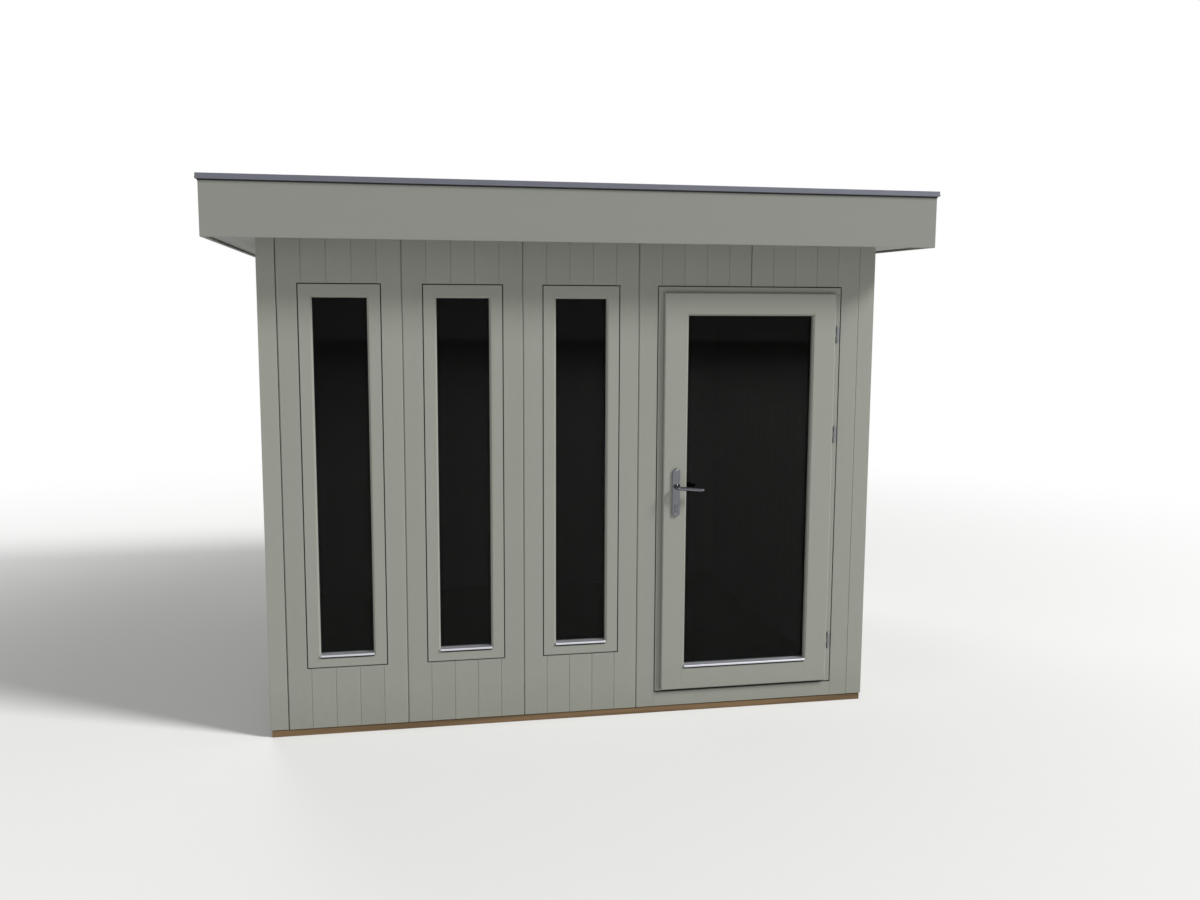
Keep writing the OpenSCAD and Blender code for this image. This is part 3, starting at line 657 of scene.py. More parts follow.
# Windows
glazing = {
    "beadWidth": 12 * mm, "beadSlope": 8 * mm, "beadEase": 0.4 * mm,
    "barHeight": 14 * mm, "barFront": 11 * mm, "barNose": 7 * mm, "barRound": 3 * mm, "barFoot": 2 * mm,
    "barIn": 10 * mm, "barEase": 0.4 * mm, "grooveDepth": 5 * mm, "grooveHeight": 7 * mm,
    "pane": 4 * mm, "arris": 0.6 * mm, "spacerWidth": 12.5 * mm, "spacerInset": 1 * mm,
    "sealWidth": 1.6 * mm, "sealDepth": 2.5 * mm, "sealFoot": 4 * mm, "sealEase": 0.5 * mm,
    "shadeStripBack": 3 * mm, "ease": 1.0 * mm, "joint": 0.3 * mm,
}


def barOutline(face, ledge, glassFront):
    # across a weather bar with a rounded nose
    nose, turn = face - glazing["barNose"], glazing["barRound"]
    top, foot = ledge + glazing["barFront"] - turn, ledge + glazing["barFoot"]
    turns = [i * math.pi / 12 for i in range(7)]
    arc = [(nose + turn * (1 - math.sin(a)), top + turn * math.cos(a)) for a in turns]
    inset = face + glazing["grooveDepth"]
    back = [(glassFront, ledge), (glassFront, ledge + glazing["barHeight"])]
    return back + arc + [(nose, foot), (inset, foot), (inset, ledge)]


def grooved(bm, rebate, face):
    # the drip groove below the nose of the weather bar
    inset, deep, tall = (glazing[label] for label in ("barIn", "grooveDepth", "grooveHeight"))
    groove, spare = bmesh.new(), 10 * mm
    addBlock(groove, (rebate[0].x + inset, face - spare, rebate[0].z - tall),
             (rebate[1].x - inset, face + deep, rebate[0].z + spare))
    return carved(bm, groove)


def addFrame(stiles, rails, box, rebate, glass):
    # two stiles with the rails between them, each cut to take the glass
    low, high = box
    inLow, inHigh = rebate
    step, bead, bar = glass[1].y, glazing["beadWidth"], glazing["barHeight"]
    for edge, lip, foot in ((low.x, inLow.x, inLow.x + bead), (high.x, inHigh.x, inHigh.x - bead)):
        outline = [(edge, low.y), (lip, low.y), (lip, step), (foot, step), (foot, high.y), (edge, high.y)]
        addBar(stiles, outline, "z", low.z, high.z)
    for edge, lip, foot in ((low.z, inLow.z, inLow.z + bar), (high.z, inHigh.z, inHigh.z - bead)):
        outer, inner = sorted((edge, lip)), sorted((edge, foot))
        part = bmesh.new()
        addBlock(part, (inLow.x, low.y, outer[0]), (inHigh.x, step, outer[1]))
        absorb(rails, grooved(part, rebate, low.y) if edge == low.z else part)
        addBlock(rails, (inLow.x + bead, step, inner[0]), (inHigh.x - bead, high.y, inner[1]))


def easeJoinery(bm, width, rebates):
    # soft outer edges, and crisp ones where two members or a bead meet
    bead = glazing["beadWidth"]
    planes = [(2, rebates[0][0].z), (2, rebates[0][1].z)]
    for low, high in rebates:
        planes += [(0, low.x), (0, low.x + bead), (0, high.x - bead), (0, high.x)]

    def meets(edge):
        return any(all(abs(v.co[i] - c) < 1e-5 for v in edge.verts) for i, c in planes)

    easeEdges(bm, width, pick=lambda edge: not meets(edge))
    easeEdges(bm, glazing["joint"], 1, 60)


def addBeads(bm, rebate, glassFront):
    # side and top beads, mitred at the top and cut to fit over the ends of the weather bar
    low, high = rebate
    face, bead, slope, barIn = low.y, glazing["beadWidth"], glazing["beadSlope"], glazing["barIn"]
    for side, edge in ((1, low.x), (-1, high.x)):
        part, bar = bmesh.new(), bmesh.new()
        inner = edge + side * bead
        front = [(edge, face), (inner - side * slope, face), (inner, face + slope)]
        addBar(part, front + [(inner, glassFront), (edge, glassFront)], "z", low.z, high.z)
        bmesh.ops.recalc_face_normals(part, faces=part.faces)
        cutOff(part, Vector((edge, face, high.z)), Vector((side, 0, 1)))
        addBar(bar, barOutline(face, low.z, glassFront + mm), "x", low.x + barIn, high.x - barIn)
        absorb(bm, carved(part, bar))
    part = bmesh.new()
    top, foot = high.z, high.z - bead
    front = [(face, top), (face, foot + slope), (face + slope, foot)]
    addBar(part, front + [(glassFront, foot), (glassFront, top)], "x", low.x, high.x)
    bmesh.ops.recalc_face_normals(part, faces=part.faces)
    cutOff(part, Vector((low.x, face, top)), Vector((-1, 0, -1)))
    cutOff(part, Vector((high.x, face, top)), Vector((1, 0, -1)))
    absorb(bm, part)


def addRing(bm, low, high, width, yFront, yBack, foot=None):
    # a flat ring of four strips, seen from the front
    left, right, foot = low.x + width, high.x - width, foot or width
    for a, b in (
        ((low.x, low.z), (left, high.z)), ((right, low.z), (high.x, high.z)),
        ((left, low.z), (right, low.z + foot)), ((left, high.z - width), (right, high.z)),
    ):
        addBlock(bm, (a[0], yFront, a[1]), (b[0], yBack, b[1]))


def addUnit(panes, spacers, seals, glass, rebate):
    # two panes, the bar between them, the seal along the beads and a dark strip under the bar's nose,
    # partly a gasket and partly painted shade
    low, high = glass
    thick, inset = glazing["pane"], Vector((glazing["spacerInset"],) * 3)
    addBlock(panes, low, (high.x, low.y + thick, high.z))
    addBlock(panes, (low.x, high.y - thick, low.z), high)
    addRing(spacers, low + inset, high - inset, glazing["spacerWidth"], low.y + thick, high.y - thick)
    edge, tall, barIn = glazing["beadWidth"], glazing["barHeight"], glazing["barIn"] + mm
    a = rebate[0] + Vector((edge, 0, tall))
    b = rebate[1] - Vector((edge, 0, edge))
    addRing(seals, a, b, glazing["sealWidth"], low.y - glazing["sealDepth"], low.y, glazing["sealFoot"])
    # the dark strip in the drip groove is painted shade as well as a gasket
    back, ledge = rebate[0].y + glazing["grooveDepth"], rebate[0].z
    addBlock(seals, (rebate[0].x + barIn, back - glazing["shadeStripBack"], ledge - glazing["grooveHeight"]),
             (rebate[1].x - barIn, back, ledge + glazing["barFoot"]))


def finishJoinery(prefix, parts, width, rebates, seeds, body, nodes):
    # eases and names the six kinds of piece that glazed joinery has
    stiles, rails, beads, panes, spacers, seals = parts
    easeJoinery(stiles, width, rebates)
    easeJoinery(rails, width, rebates)
    easeEdges(beads, glazing["beadEase"])
    easeEdges(panes, glazing["arris"], 1)
    easeEdges(seals, glazing["sealEase"])
    for part, seed in zip((stiles, rails, beads), seeds):
        markParts(part, seed)
    makePiece(prefix + "_stiles", stiles, uprightPaint, body, nodes["stiles"])
    makePiece(prefix + "_rails", rails, levelPaint, body, nodes["rails"])
    makePiece(prefix + "_bead_strips", beads, uprightPaint, body, nodes["beads"])
    makePiece(prefix + "_panes", panes, darkGlass, body, nodes["glass"])
    makePiece(prefix + "_spacers", spacers, spacerDark, body)
    makePiece(prefix + "_seals", seals, rubberAndPaintedShade, body)


parts = [bmesh.new() for _ in range(6)]
beadBoxes = solidBoxes("window_beads")
for box, glass, rebate in zip(windowBoxes, solidBoxes("window_glass"), beadBoxes):
    addFrame(*parts[:2], box, rebate, glass)
    addBeads(parts[2], rebate, glass[0].y)
    addUnit(*parts[3:], glass, rebate)
finishJoinery("window", parts, glazing["ease"], beadBoxes, (7, 15, 8), "pod", {
    "stiles": ["window_frames"], "rails": ["window_frames"],
    "beads": ["window_beads"], "glass": ["window_glass"],
})
print("windows:", len(windowBoxes))


# Eased copies of the nodes whose shape is already right
def easedCopy(
    name, node, material, width, segments=2, body="pod", limit=28, smooth=30, seed=None, holes=None,
):
    bm = cadMesh(node)
    if holes:
        bm = carved(bm, holes)
    if width:
        easeEdges(bm, width, segments, limit)
    if seed is not None:
        markParts(bm, seed)
    makePiece(name, bm, material, body, [node], smooth)


# The gap under the leaf runs on below the front of the jambs
doorFrame = {"ease": 1.0 * mm, "sillEase": 1.2 * mm, "footGap": 7 * mm, "footDeep": 16 * mm}
feet = bmesh.new()
addBlock(feet, (jambs[0].x - mm, frontLow.y - mm, jambs[0].z - mm),
         (jambs[1].x + mm, frontLow.y + doorFrame["footDeep"], jambs[0].z + doorFrame["footGap"]))
easedCopy("window_bars", "window_weather_bars", barMetal, glazing["barEase"], limit=40)
for name, node, material, width, seed, holes in (
    ("door_frame_jambs", "door_jambs", uprightPaint, doorFrame["ease"], 9, feet),
    ("door_frame_head", "door_head", levelPaint, doorFrame["ease"], 10, None),
    ("door_frame_sill", "door_sill", levelPaint, doorFrame["sillEase"], 11, None),
):
    easedCopy(name, node, material, width, seed=seed, holes=holes)


# Door leaf
leafSet = {
    "bevelWide": 5 * mm, "bevelDeep": 4 * mm, "ease": 0.8 * mm, "spindleHole": 11 * mm,
    "lockWeb": 10 * mm, "lockPlay": 0.3 * mm, "plateIn": 3 * mm, "plateFrom": 6.5 * mm,
    "stopGap": 5 * mm, "sealIn": 1 * mm, "sealWide": 7 * mm, "sealThick": 3 * mm, "sealEase": 0.8 * mm,
    "shadeStripEnd": 34 * mm, "shadeStripFrom": 8 * mm, "shadeStripTall": 4 * mm,
}
outerLow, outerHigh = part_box("door_lips")
leafLow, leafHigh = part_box("door_stiles")
lockLow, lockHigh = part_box("lock_cylinder")
spindleLow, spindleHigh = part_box("spindle")
handleX, handleZ = (spindleLow.x + spindleHigh.x) / 2, (spindleLow.z + spindleHigh.z) / 2
hingeBoxes = sorted(solidBoxes("hinge_leaves"), key=lambda b: b[0].z)


def lockOutline(play):
    # a round barrel with a narrower web below it
    radius, web = (lockHigh.x - lockLow.x) / 2 + play, leafSet["lockWeb"] / 2 + play
    middle, top = (lockHigh.x + lockLow.x) / 2, lockHigh.z + play - radius
    foot, dip = lockLow.z - play + web, math.asin(web / radius)
    sweep = 2 * math.pi - 2 * dip
    turns = [-math.pi / 2 + dip + i / 28 * sweep for i in range(29)]
    barrel = [(middle + radius * math.cos(a), top + radius * math.sin(a)) for a in turns]
    turns = [i * math.pi / 10 for i in range(11)]
    return barrel + [(middle - web * math.cos(a), foot - web * math.sin(a)) for a in turns]


def leafHoles():
    # behind the head lip, at the hinges, and for the spindle and the lock
    holes, spare, reach = bmesh.new(), 5 * mm, leafSet["spindleHole"]
    addBlock(holes, (outerLow.x - spare, outerHigh.y, leafHigh.z),
             (outerHigh.x + spare, leafHigh.y + spare, outerHigh.z + spare))
    for low, high in hingeBoxes:
        addBlock(holes, (leafHigh.x - leafSet["plateIn"], low.y + leafSet["plateFrom"], low.z),
                 (outerHigh.x + spare, high.y, high.z))
    turns = [i * math.pi / 16 for i in range(32)]
    ring = [(handleX + reach * math.cos(a), handleZ + reach * math.sin(a)) for a in turns]
    for outline in (ring, lockOutline(leafSet["lockPlay"])):
        addBar(holes, outline, "y", leafLow.y - spare, leafHigh.y + spare)
    return holes


def addLeafFrame(stiles, rails, rebate, glass):
    # the stiles run the whole height, and the lip is one piece with them and the top rail
    face, back, lipBack, step = outerLow.y, leafHigh.y, outerHigh.y, glass[1].y
    wide, deep, bead = leafSet["bevelWide"], leafSet["bevelDeep"], glazing["beadWidth"]
    top, bodyTop, foot = outerHigh.z, leafHigh.z, outerLow.z
    inLow, inHigh = rebate
    for side, edge, body, lip in (
        (1, outerLow.x, leafLow.x, inLow.x), (-1, outerHigh.x, leafHigh.x, inHigh.x),
    ):
        inner = lip + side * bead
        outline = [(edge, lipBack), (edge, face + deep), (edge + side * wide, face), (lip, face)]
        outline += [(lip, step), (inner, step), (inner, back), (body, back), (body, lipBack)]
        addBar(stiles, outline, "z", foot, top)
    bmesh.ops.recalc_face_normals(stiles, faces=stiles.faces)
    cutOff(stiles, Vector((0, face + deep, top)), Vector((0, -wide, deep)))
    cutOff(stiles, Vector((0, face + deep, foot)), Vector((0, -wide, -deep)))
    front = [(face + deep, top), (face, top - wide), (face, inHigh.z), (step, inHigh.z)]
    addBar(rails, front + [(step, bodyTop), (lipBack, bodyTop), (lipBack, top)], "x", inLow.x, inHigh.x)
    part = bmesh.new()
    front = [(face + deep, foot), (face, foot + wide), (face, inLow.z), (step, inLow.z)]
    addBar(part, front + [(step, foot)], "x", inLow.x, inHigh.x)
    absorb(rails, grooved(part, rebate, face))
    for low, high in ((inHigh.z - bead, bodyTop), (foot, inLow.z + glazing["barHeight"])):
        addBlock(rails, (inLow.x + bead, step, low), (inHigh.x - bead, back, high))


glass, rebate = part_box("door_glass"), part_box("door_beads")
parts = [bmesh.new() for _ in range(6)]
addLeafFrame(*parts[:2], rebate, glass)
parts[0] = carved(parts[0], leafHoles())
addBeads(parts[2], rebate, glass[0].y)
addUnit(*parts[3:], glass, rebate)
finishJoinery("leaf", parts, leafSet["ease"], [rebate], (12, 13, 14), "door", {
    "stiles": ["door_stiles", "door_lips"], "rails": ["door_rails", "door_lips"],
    "beads": ["door_beads"], "glass": ["door_glass"],
})
easedCopy(
    "leaf_bar", "door_weather_bar", barMetal, glazing["barEase"], body="door", limit=40,
)

# The seal on the frame's stop, and a dark strip on the sill below the leaf, partly a threshold seal and
# partly painted shade in the gap
stopFace, inset = leafHigh.y + leafSet["stopGap"], Vector((leafSet["sealIn"],) * 3)
sealFace = stopFace - leafSet["sealThick"]
seals = bmesh.new()
addRing(seals, leafLow + inset, leafHigh - inset, leafSet["sealWide"], sealFace, stopFace)
addBlock(seals, (jambs[0].x + leafSet["shadeStripEnd"], frontLow.y + leafSet["shadeStripFrom"], jambs[0].z),
         (jambs[1].x - leafSet["shadeStripEnd"], stopFace, jambs[0].z + leafSet["shadeStripTall"]))
easeEdges(seals, leafSet["sealEase"])
makePiece("door_frame_seals", seals, rubberAndPaintedShade)
print("door leaf")


# Ironmongery
ironwork = {
    "screwProud": 0.5 * mm, "socket": 0.45, "hingeScrew": 3.4 * mm, "screwSpread": 0.62,
    "screwAcross": 0.66, "edgeScrew": 3.2 * mm, "edgeScrewIn": 9 * mm, "plateScrew": 3.6 * mm,
    "plateScrewIn": 13 * mm, "plateThick": 8 * mm,
    "faceplateWide": 20 * mm, "faceplateProud": 0.4 * mm, "faceplateEnd": 62 * mm,
    "faceplateEase": 0.15 * mm, "latchOut": 5.5 * mm, "latchTall": 28 * mm, "latchThick": 11 * mm,
    "boltTall": 36 * mm, "boltProud": 0.9 * mm, "boltEase": 0.5 * mm, "jambGap": 7.5 * mm,
    "pocketDeep": 5 * mm, "hingeEase": 0.4 * mm, "knuckle": 8 * mm, "capRadius": 5.5 * mm,
    "capHeight": 2.2 * mm, "capEase": 0.6 * mm, "backplateEase": 1.2 * mm, "cylinderEase": 0.4 * mm,
}


def addScrew(bm, point, normal, radius):
    # a low countersunk head with a six-sided socket
    part = bmesh.new()
    proud = ironwork["screwProud"]
    bmesh.ops.create_cone(
        part, cap_ends=True, segments=18, radius1=radius, radius2=radius * 0.86, depth=proud * 2,
    )
    part.faces.ensure_lookup_table()
    top = max(part.faces, key=lambda f: f.calc_center_median().z)
    bmesh.ops.inset_individual(part, faces=[top], thickness=radius * ironwork["socket"])
    sunk = bmesh.ops.extrude_discrete_faces(part, faces=[top])["faces"]
    bmesh.ops.translate(part, vec=(0, 0, -proud * 1.5), verts=sunk[0].verts)
    turn = Vector(normal).to_track_quat("Z", "Y").to_matrix().to_4x4()
    bmesh.ops.transform(part, matrix=Matrix.Translation(point) @ turn, verts=part.verts)
    absorb(bm, part)


def addPlate(bm, middle, low, high, start, end):
    # an upright plate with round ends, across x
    reach = ironwork["faceplateWide"] / 2
    turns = [i * math.pi / 12 for i in range(13)]
    outline = [(middle + reach * math.cos(a), high - reach + reach * math.sin(a)) for a in turns]
    outline += [(middle - reach * math.cos(a), low + reach - reach * math.sin(a)) for a in turns]
    addBar(bm, outline, "x", start, end)


for name, node, body in (
    ("hinge_frame_halves", "hinge_brackets", "pod"), ("hinge_leaf_halves", "hinge_leaves", "door"),
):
    easedCopy(name, node, hingeSteel, ironwork["hingeEase"], body=body, limit=50)
leafScrews, frameScrews, caps = bmesh.new(), bmesh.new(), bmesh.new()
radius, tall, knuckle = ironwork["capRadius"], ironwork["capHeight"], ironwork["knuckle"]
for low, high in hingeBoxes:
    middle, reach = (low.z + high.z) / 2, (high.z - low.z) / 2
    across = low.y + (high.y - low.y) * ironwork["screwAcross"]
    for share in (-ironwork["screwSpread"], 0.0, ironwork["screwSpread"]):
        point = Vector((leafHigh.x, across, middle + share * reach))
        addScrew(leafScrews, point, x, ironwork["hingeScrew"])
    for end in (-1, 1):
        cap = bmesh.new()
        bmesh.ops.create_cone(
            cap, cap_ends=True, segments=32, radius1=radius, radius2=radius * 0.9, depth=tall,
        )
        place = Matrix.Translation((high.x - knuckle, low.y + knuckle, middle + end * (reach + tall / 2)))
        turn = Matrix.Rotation(0 if end > 0 else math.pi, 4, "X")
        bmesh.ops.transform(cap, matrix=place @ turn, verts=cap.verts)
        absorb(caps, cap)
easeEdges(caps, ironwork["capEase"], 2, 40)
makePiece("hinge_caps", caps, hingeSteel)

# The lock's faceplate, latch and bolt on the edge of the leaf, and the keep on the jamb
plate, bolts, keep, pockets, recess = (bmesh.new() for _ in range(5))
plateY, proud = (leafLow.y + leafHigh.y) / 2, ironwork["faceplateProud"]
plateFoot, plateTop = lockLow.z - ironwork["faceplateEnd"], handleZ + ironwork["faceplateEnd"]
edge, jambFace = leafLow.x, leafLow.x - ironwork["jambGap"]
tip, boltZ = edge - ironwork["latchOut"], (lockLow.z + lockHigh.z) / 2
thick, pocket = ironwork["latchThick"] / 2, ironwork["pocketDeep"]
latchReach, boltReach = ironwork["latchTall"] / 2, ironwork["boltTall"] / 2
addPlate(plate, plateY, plateFoot, plateTop, edge - proud, edge + proud)
addPlate(keep, plateY, plateFoot, plateTop, jambFace - proud, jambFace + proud)
latch = [(edge + mm, plateY - thick), (tip, plateY - thick), (tip, plateY - thick * 0.4)]
latch += [(edge - mm, plateY + thick), (edge + mm, plateY + thick)]
addBar(bolts, latch, "z", handleZ - latchReach, handleZ + latchReach)
addBlock(bolts, (edge - ironwork["boltProud"], plateY - thick, boltZ - boltReach),
         (edge + mm, plateY + thick, boltZ + boltReach))
for middle, tall in ((handleZ, latchReach), (boltZ, boltReach)):
    near = (jambFace - pocket, plateY - thick - mm, middle - tall - mm)
    far = (jambFace + pocket, plateY + thick + mm, middle + tall + mm)
    addBlock(pockets, near, far)
    # a black sheet at the back of the keep's pockets, as painted shade in the mortices
    addBlock(recess, (jambFace - proud, near[1] - mm, near[2] - mm),
             (jambFace + proud * 0.4, far[1] + mm, far[2] + mm))
keep = carved(keep, pockets)
for part, face, outward in ((leafScrews, edge - proud, -x), (frameScrews, jambFace + proud, x)):
    for height in (plateFoot + ironwork["edgeScrewIn"], plateTop - ironwork["edgeScrewIn"]):
        addScrew(part, Vector((face, plateY, height)), outward, ironwork["edgeScrew"])
easeEdges(plate, ironwork["faceplateEase"], 1, 50)
easeEdges(keep, ironwork["faceplateEase"], 1, 50)
easeEdges(bolts, ironwork["boltEase"], 2, 40)
makePiece("lock_faceplate", plate, hingeSteel, "door")
makePiece("latch_and_bolt", bolts, screwSteel, "door")
makePiece("lock_keep", keep, hingeSteel)
makePiece("keep_recesses", recess, rubberAndPaintedShade)

for node, body, width, segments, limit, smooth in (
    ("handle_plates", "door", ironwork["backplateEase"], 3, 50, 35),
    ("lock_cylinder", "door", ironwork["cylinderEase"], 3, 50, 35),
    ("outer_lever", "levers", 0, 1, 28, 50),
    ("inner_lever", "levers", 0, 1, 28, 50),
):
    easedCopy(node + "_finished", node, handleMetalPaintedDark, width, segments, body, limit, smooth)
plateLow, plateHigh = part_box("handle_plates")
plateProud = ironwork["plateThick"]
for height in (plateLow.z + ironwork["plateScrewIn"], plateHigh.z - ironwork["plateScrewIn"]):
    for face, outward in ((leafLow.y - plateProud, -y), (leafHigh.y + plateProud, y)):
        addScrew(leafScrews, Vector((handleX, face, height)), outward, ironwork["plateScrew"])
makePiece("leaf_screws", leafScrews, screwSteel, "door")
makePiece("keep_screws", frameScrews, screwSteel)
print("ironmongery")


# Roof
roofing = {
    "ease": 2.0 * mm, "soffitEase": 1.0 * mm,
    "trimThick": 2 * mm, "trimLap": 50 * mm, "trimSeam": 0.3 * mm, "trimEase": 0.7 * mm,
    "rollHeight": 8 * mm, "rollOut": 1.4 * mm, "return": 3 * mm,
    "hemThick": 1.5 * mm, "hemSunk": 0.3 * mm, "hemBelow": 7 * mm, "hemAbove": 12 * mm,
    "hemEase": 0.3 * mm,
    "lapAt": 0.342, "lapWide": 90 * mm, "lapThick": 1.2 * mm, "lapIn": 60 * mm, "lapEase": 0.8 * mm,
}
for name, node, material, width, segments, seed in (
    ("fascia_long", "front_and_back_fascias", shadedFasciaPaint, roofing["ease"], 3, 20),
    ("fascia_short", "side_fascias", shadedFasciaPaintY, roofing["ease"], 3, 21),
    ("soffit_long", "front_and_back_soffits", shadedFasciaPaint, roofing["soffitEase"], 2, 22),
    ("soffit_short", "side_soffits", shadedFasciaPaintY, roofing["soffitEase"], 2, 23),
):
    easedCopy(name, node, material, width, segments, seed=seed)

trimLow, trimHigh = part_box("roof_edge_trim")
coverLow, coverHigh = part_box("roof_covering")


def addTrimRun(bm, axis):
    # two opposite lengths of the edge trim, mitred at the corners
    alongX, seam = axis == "x", roofing["trimSeam"]
    wide, long = (trimHigh.y, trimHigh.x) if alongX else (trimHigh.x, trimHigh.y)
    thick, top, foot = roofing["trimThick"], trimHigh.z, trimLow.z
    lap = wide - (trimHigh.y - coverHigh.y) - roofing["trimLap"]
    out, roll, inside = wide - roofing["rollOut"], foot + roofing["rollHeight"], wide - thick
    hook = inside - roofing["return"]
    outer = [(out, top), (out, roll + roofing["rollOut"]), (wide, roll)]
    inner = [(out - thick, top - thick)] + [(a - thick, b) for a, b in outer[1:]]
    outline = [(lap, top)] + outer + [(wide, foot + thick), (inside, foot), (hook, foot)]
    outline += [(hook, foot + thick), (inside, foot + thick)] + inner[::-1] + [(lap, top - thick)]
    cornerX, cornerY = trimHigh.x - (seam if alongX else 0), trimHigh.y - (0 if alongX else seam)
    for side in (-1, 1):
        part = bmesh.new()
        addBar(part, [(side * a, b) for a, b in outline], axis, -long, long)
        bmesh.ops.recalc_face_normals(part, faces=part.faces)
        for end in (-1, 1):
            signX, signY = (end, side) if alongX else (side, end)
            normal = (end, -side, 0) if alongX else (-side, end, 0)
            cutOff(part, Vector((cornerX * signX, cornerY * signY, top)), Vector(normal))
        absorb(bm, part)


trim = bmesh.new()
addTrimRun(trim, "x")
addTrimRun(trim, "y")
easeEdges(trim, roofing["trimEase"], 2, 50)
makePiece("edge_trim_lengths", trim, trimMetal, replaces=["roof_edge_trim"])

# The covering's edge, turned down over the fascias behind the trim, dark as the membrane and as painted
# shade below the trim
hemAndShadeLine, thick = bmesh.new(), roofing["hemThick"]
hemLow, hemHigh = trimLow.z - roofing["hemBelow"], trimLow.z + roofing["hemAbove"]
for side in (-1, 1):
    for long, wide, turned in ((coverHigh.x, coverHigh.y, False), (coverHigh.y, coverHigh.x, True)):
        near, far = sorted((side * (wide - roofing["hemSunk"]), side * (wide + thick)))
        reach = long + (thick if turned else 0.0)
        corners = ((near, -reach), (far, reach)) if turned else ((-reach, near), (reach, far))
        addBlock(hemAndShadeLine, (*corners[0], hemLow), (*corners[1], hemHigh))
easeEdges(hemAndShadeLine, roofing["hemEase"], 1)
makePiece("covering_hem_and_shade_line", hemAndShadeLine, rubberAndPaintedShade)

laps = bmesh.new()
for side in (-1, 1):
    middle, reach = side * roofing["lapAt"] * coverHigh.x, roofing["lapWide"] / 2
    addBlock(laps, (middle - reach, coverLow.y + roofing["lapIn"], coverHigh.z - mm),
             (middle + reach, coverHigh.y - roofing["lapIn"], coverHigh.z + roofing["lapThick"]))
easeEdges(laps, roofing["lapEase"])
makePiece("roof_laps", laps, sheetRubber)
print("roof")


# Base and room
baseEase = 2.0 * mm
easedCopy("rims_eased", "base_rims", treatedX, baseEase, seed=30)
easedCopy("joists_eased", "base_joists", treatedY, baseEase, seed=31)

planks = {"rows": 12, "length": 1.22, "shortest": 20 * mm, "gap": 0.3 * mm, "ease": 0.9 * mm}
floorLow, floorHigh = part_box("floor_boards")
floor = bmesh.new()
draw = random.Random(40)
rowWide = (floorHigh.y - floorLow.y) / planks["rows"]
for row in range(planks["rows"]):
    left = floorLow.x - draw.uniform(0.1, 0.9) * planks["length"]
    while left < floorHigh.x:
        right = left + planks["length"]
        a, b = max(left, floorLow.x), min(right, floorHigh.x)
        if b - a > planks["shortest"]:
            front = floorLow.y + row * rowWide
            back = front + rowWide - planks["gap"]
            addBlock(floor, (a, front, floorLow.z), (b - planks["gap"], back, floorHigh.z))
        left = right
easeEdges(floor, planks["ease"], 1, 28, lambda e: all(v.co.z > floorHigh.z - mm for v in e.verts))
markParts(floor, 41)
makePiece("floor_planks", floor, plankWood, replaces=["floor_boards"])

sideLow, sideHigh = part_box("side_linings")
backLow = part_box("back_lining")[0]
addBoards("front_lining_boards", "front_lining", lining, 42, (liningHigh.x, liningHigh.y, -x))
addBoards(
    "side_lining_boards", "side_linings", lining, 43,
    (sideLow.x + lining["thick"], sideLow.y, y), (sideHigh.x - lining["thick"], sideHigh.y, -y),
)
addBoards("back_lining_boards", "back_lining", lining, 44, (backLow.x, backLow.y, x))
print("room")


# Nodes that keep their shape
kept = {
    "floor_deck": timberX, "front_header": wallWrapAndGapShade, "front_apron": wallWrapAndGapShade, "front_piers": wallWrapAndGapShade,
    "left_wall": wallWrapAndGapShade, "right_wall": wallWrapAndGapShade, "back_wall": wallWrapAndGapShade, "ceiling": ceilingPaint,
    "roof_joist_set": timberZ, "roof_deck": timberX, "roof_covering": sheetRubber, "spindle": hingeSteel,
}
for node, material in kept.items():
    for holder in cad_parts[node].material_slots:
        holder.material = material


# Studio
studio = {
    "floorSize": 60.0, "floorTone": (0.80, 0.80, 0.79, 1), "floorShine": 0.1,
    "fadeStart": 2.5, "fadeEnd": 9.0,
    "worldLight": 0.24, "worldMirrored": 0.5, "aim": Vector((0, -0.6, 1.2)),
    "keyPlace": (22.2, -14.4, 21.6), "keySize": 7.8, "keyPower": 12060.0,
    "fillPlace": (-7.0, -6.0, 3.5), "fillSize": 5.0, "fillPower": 110.0,
    "rearPlace": (-3.0, 8.0, 6.0), "rearSize": 5.0, "rearPower": 260.0,
}
world = bpy.data.worlds.new("studio")
bpy.context.scene.world = world
world.use_nodes = True
tree = world.node_tree
tree.nodes.clear()
path, plain = addNode(tree, "ShaderNodeLightPath").outputs, studio["worldLight"]
strength = calc(tree, "MULTIPLY_ADD", path["Is Glossy Ray"], studio["worldMirrored"] - plain, plain)
strength = calc(tree, "MULTIPLY_ADD", path["Is Camera Ray"], 1.0 - plain, strength)
sky = addNode(tree, "ShaderNodeBackground", {"Color": (1, 1, 1, 1), "Strength": strength})
addNode(tree, "ShaderNodeOutputWorld", {"Surface": sky.outputs[0]})

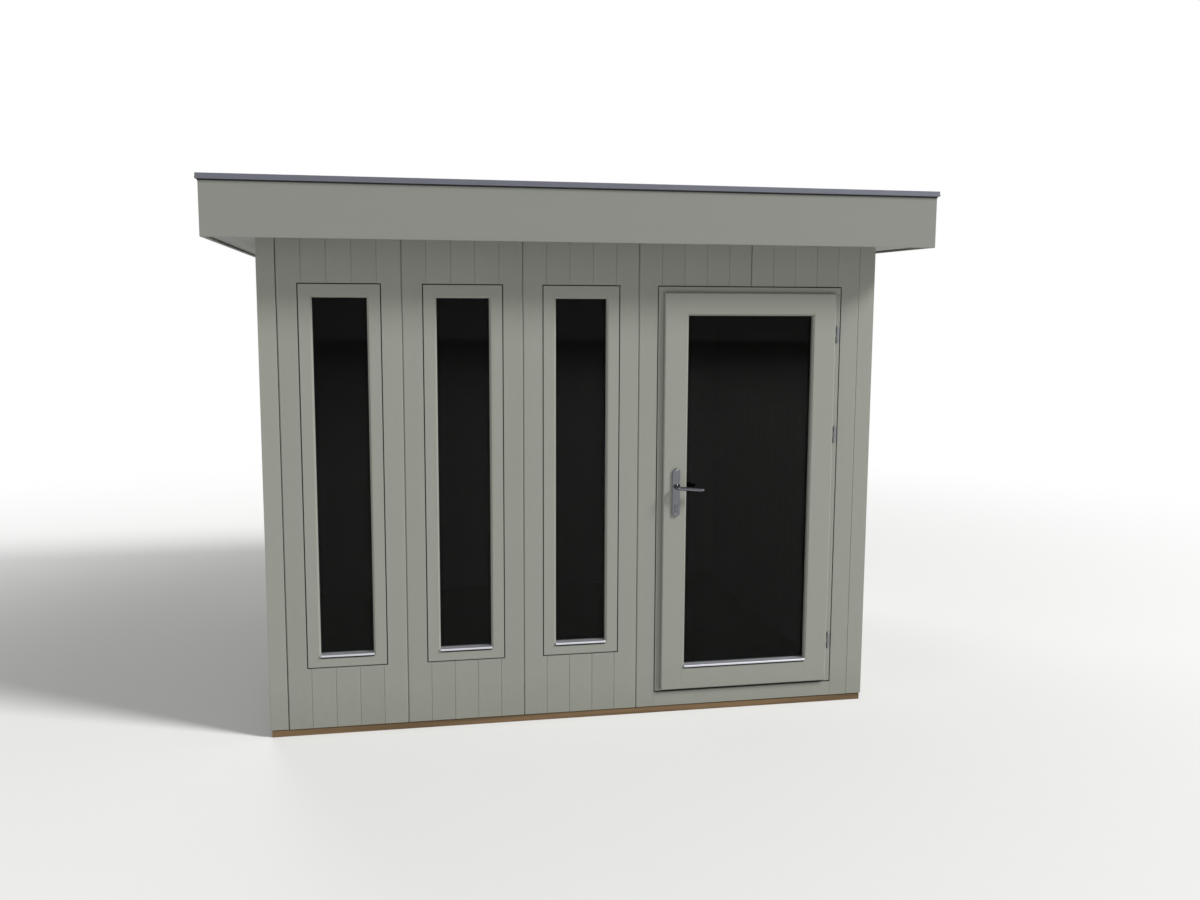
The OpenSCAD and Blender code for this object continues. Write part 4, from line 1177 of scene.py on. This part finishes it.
material, tree, shader = startMaterial("studioFloor", Roughness=0.9)
shader.inputs["Base Color"].default_value = studio["floorTone"]
shader.inputs["Specular IOR Level"].default_value = studio["floorShine"]
place = addNode(tree, "ShaderNodeTexCoord").outputs["Object"]
distance = addNode(tree, "ShaderNodeVectorMath", {0: place}, operation="LENGTH").outputs["Value"]
fade = remap(tree, distance, studio["fadeStart"], studio["fadeEnd"], smooth=True)
share = calc(tree, "MULTIPLY", fade, addNode(tree, "ShaderNodeLightPath").outputs["Is Camera Ray"])
white = addNode(tree, "ShaderNodeEmission", {"Color": (1, 1, 1, 1), "Strength": 1.0})
mixed = addNode(tree, "ShaderNodeMixShader", {0: share, 1: shader.outputs[0], 2: white.outputs[0]})
output = next(n for n in tree.nodes if n.type == "OUTPUT_MATERIAL")
tree.links.new(mixed.outputs[0], output.inputs["Surface"])
ground = bmesh.new()
bmesh.ops.create_circle(ground, cap_ends=True, segments=96, radius=studio["floorSize"])
mesh = bpy.data.meshes.new("studioFloor")
ground.to_mesh(mesh)
ground.free()
mesh.materials.append(material)
studioFloor = bpy.data.objects.new("studioFloor", mesh)
bpy.context.scene.collection.objects.link(studioFloor)
studioFloor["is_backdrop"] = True

for label in ("key", "fill", "rear"):
    lamp = bpy.data.lights.new(label + "Lamp", "AREA")
    lamp.shape, lamp.size, lamp.energy = "DISK", studio[label + "Size"], studio[label + "Power"]
    holder = bpy.data.objects.new(label + "Lamp", lamp)
    holder.location = studio[label + "Place"]
    holder.rotation_euler = (Vector(holder.location) - studio["aim"]).to_track_quat("Z", "Y").to_euler()
    holder.visible_camera = False
    bpy.context.scene.collection.objects.link(holder)

# The photograph's own view, fitted to measured places on the front wall
view = {
    "place": (-0.9733, -6.5571, 2.0411), "turn": -11.249, "tilt": -7.342, "roll": -0.289,
    "focal": 1139.9, "width": 1200.0, "sensor": 36.0, "reach": 200.0,
}
camera = bpy.data.cameras.new("camera")
camera.sensor_width = view["sensor"]
camera.lens = view["sensor"] * view["focal"] / view["width"]
camera.clip_end = view["reach"]
eye = bpy.data.objects.new("camera", camera)
eye.matrix_world = (
    Matrix.Translation(view["place"])
    @ Matrix.Rotation(math.radians(view["turn"]), 4, "Z")
    @ Matrix.Rotation(math.radians(90 + view["tilt"]), 4, "X")
    @ Matrix.Rotation(math.radians(-view["roll"]), 4, "Z")
)
bpy.context.scene.collection.objects.link(eye)
bpy.context.scene.camera = eye
bpy.context.scene.view_settings.view_transform = "Standard"
print("studio, lamps and camera")

low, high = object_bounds()
print("object:", [round(c, 4) for c in low], [round(c, 4) for c in high])
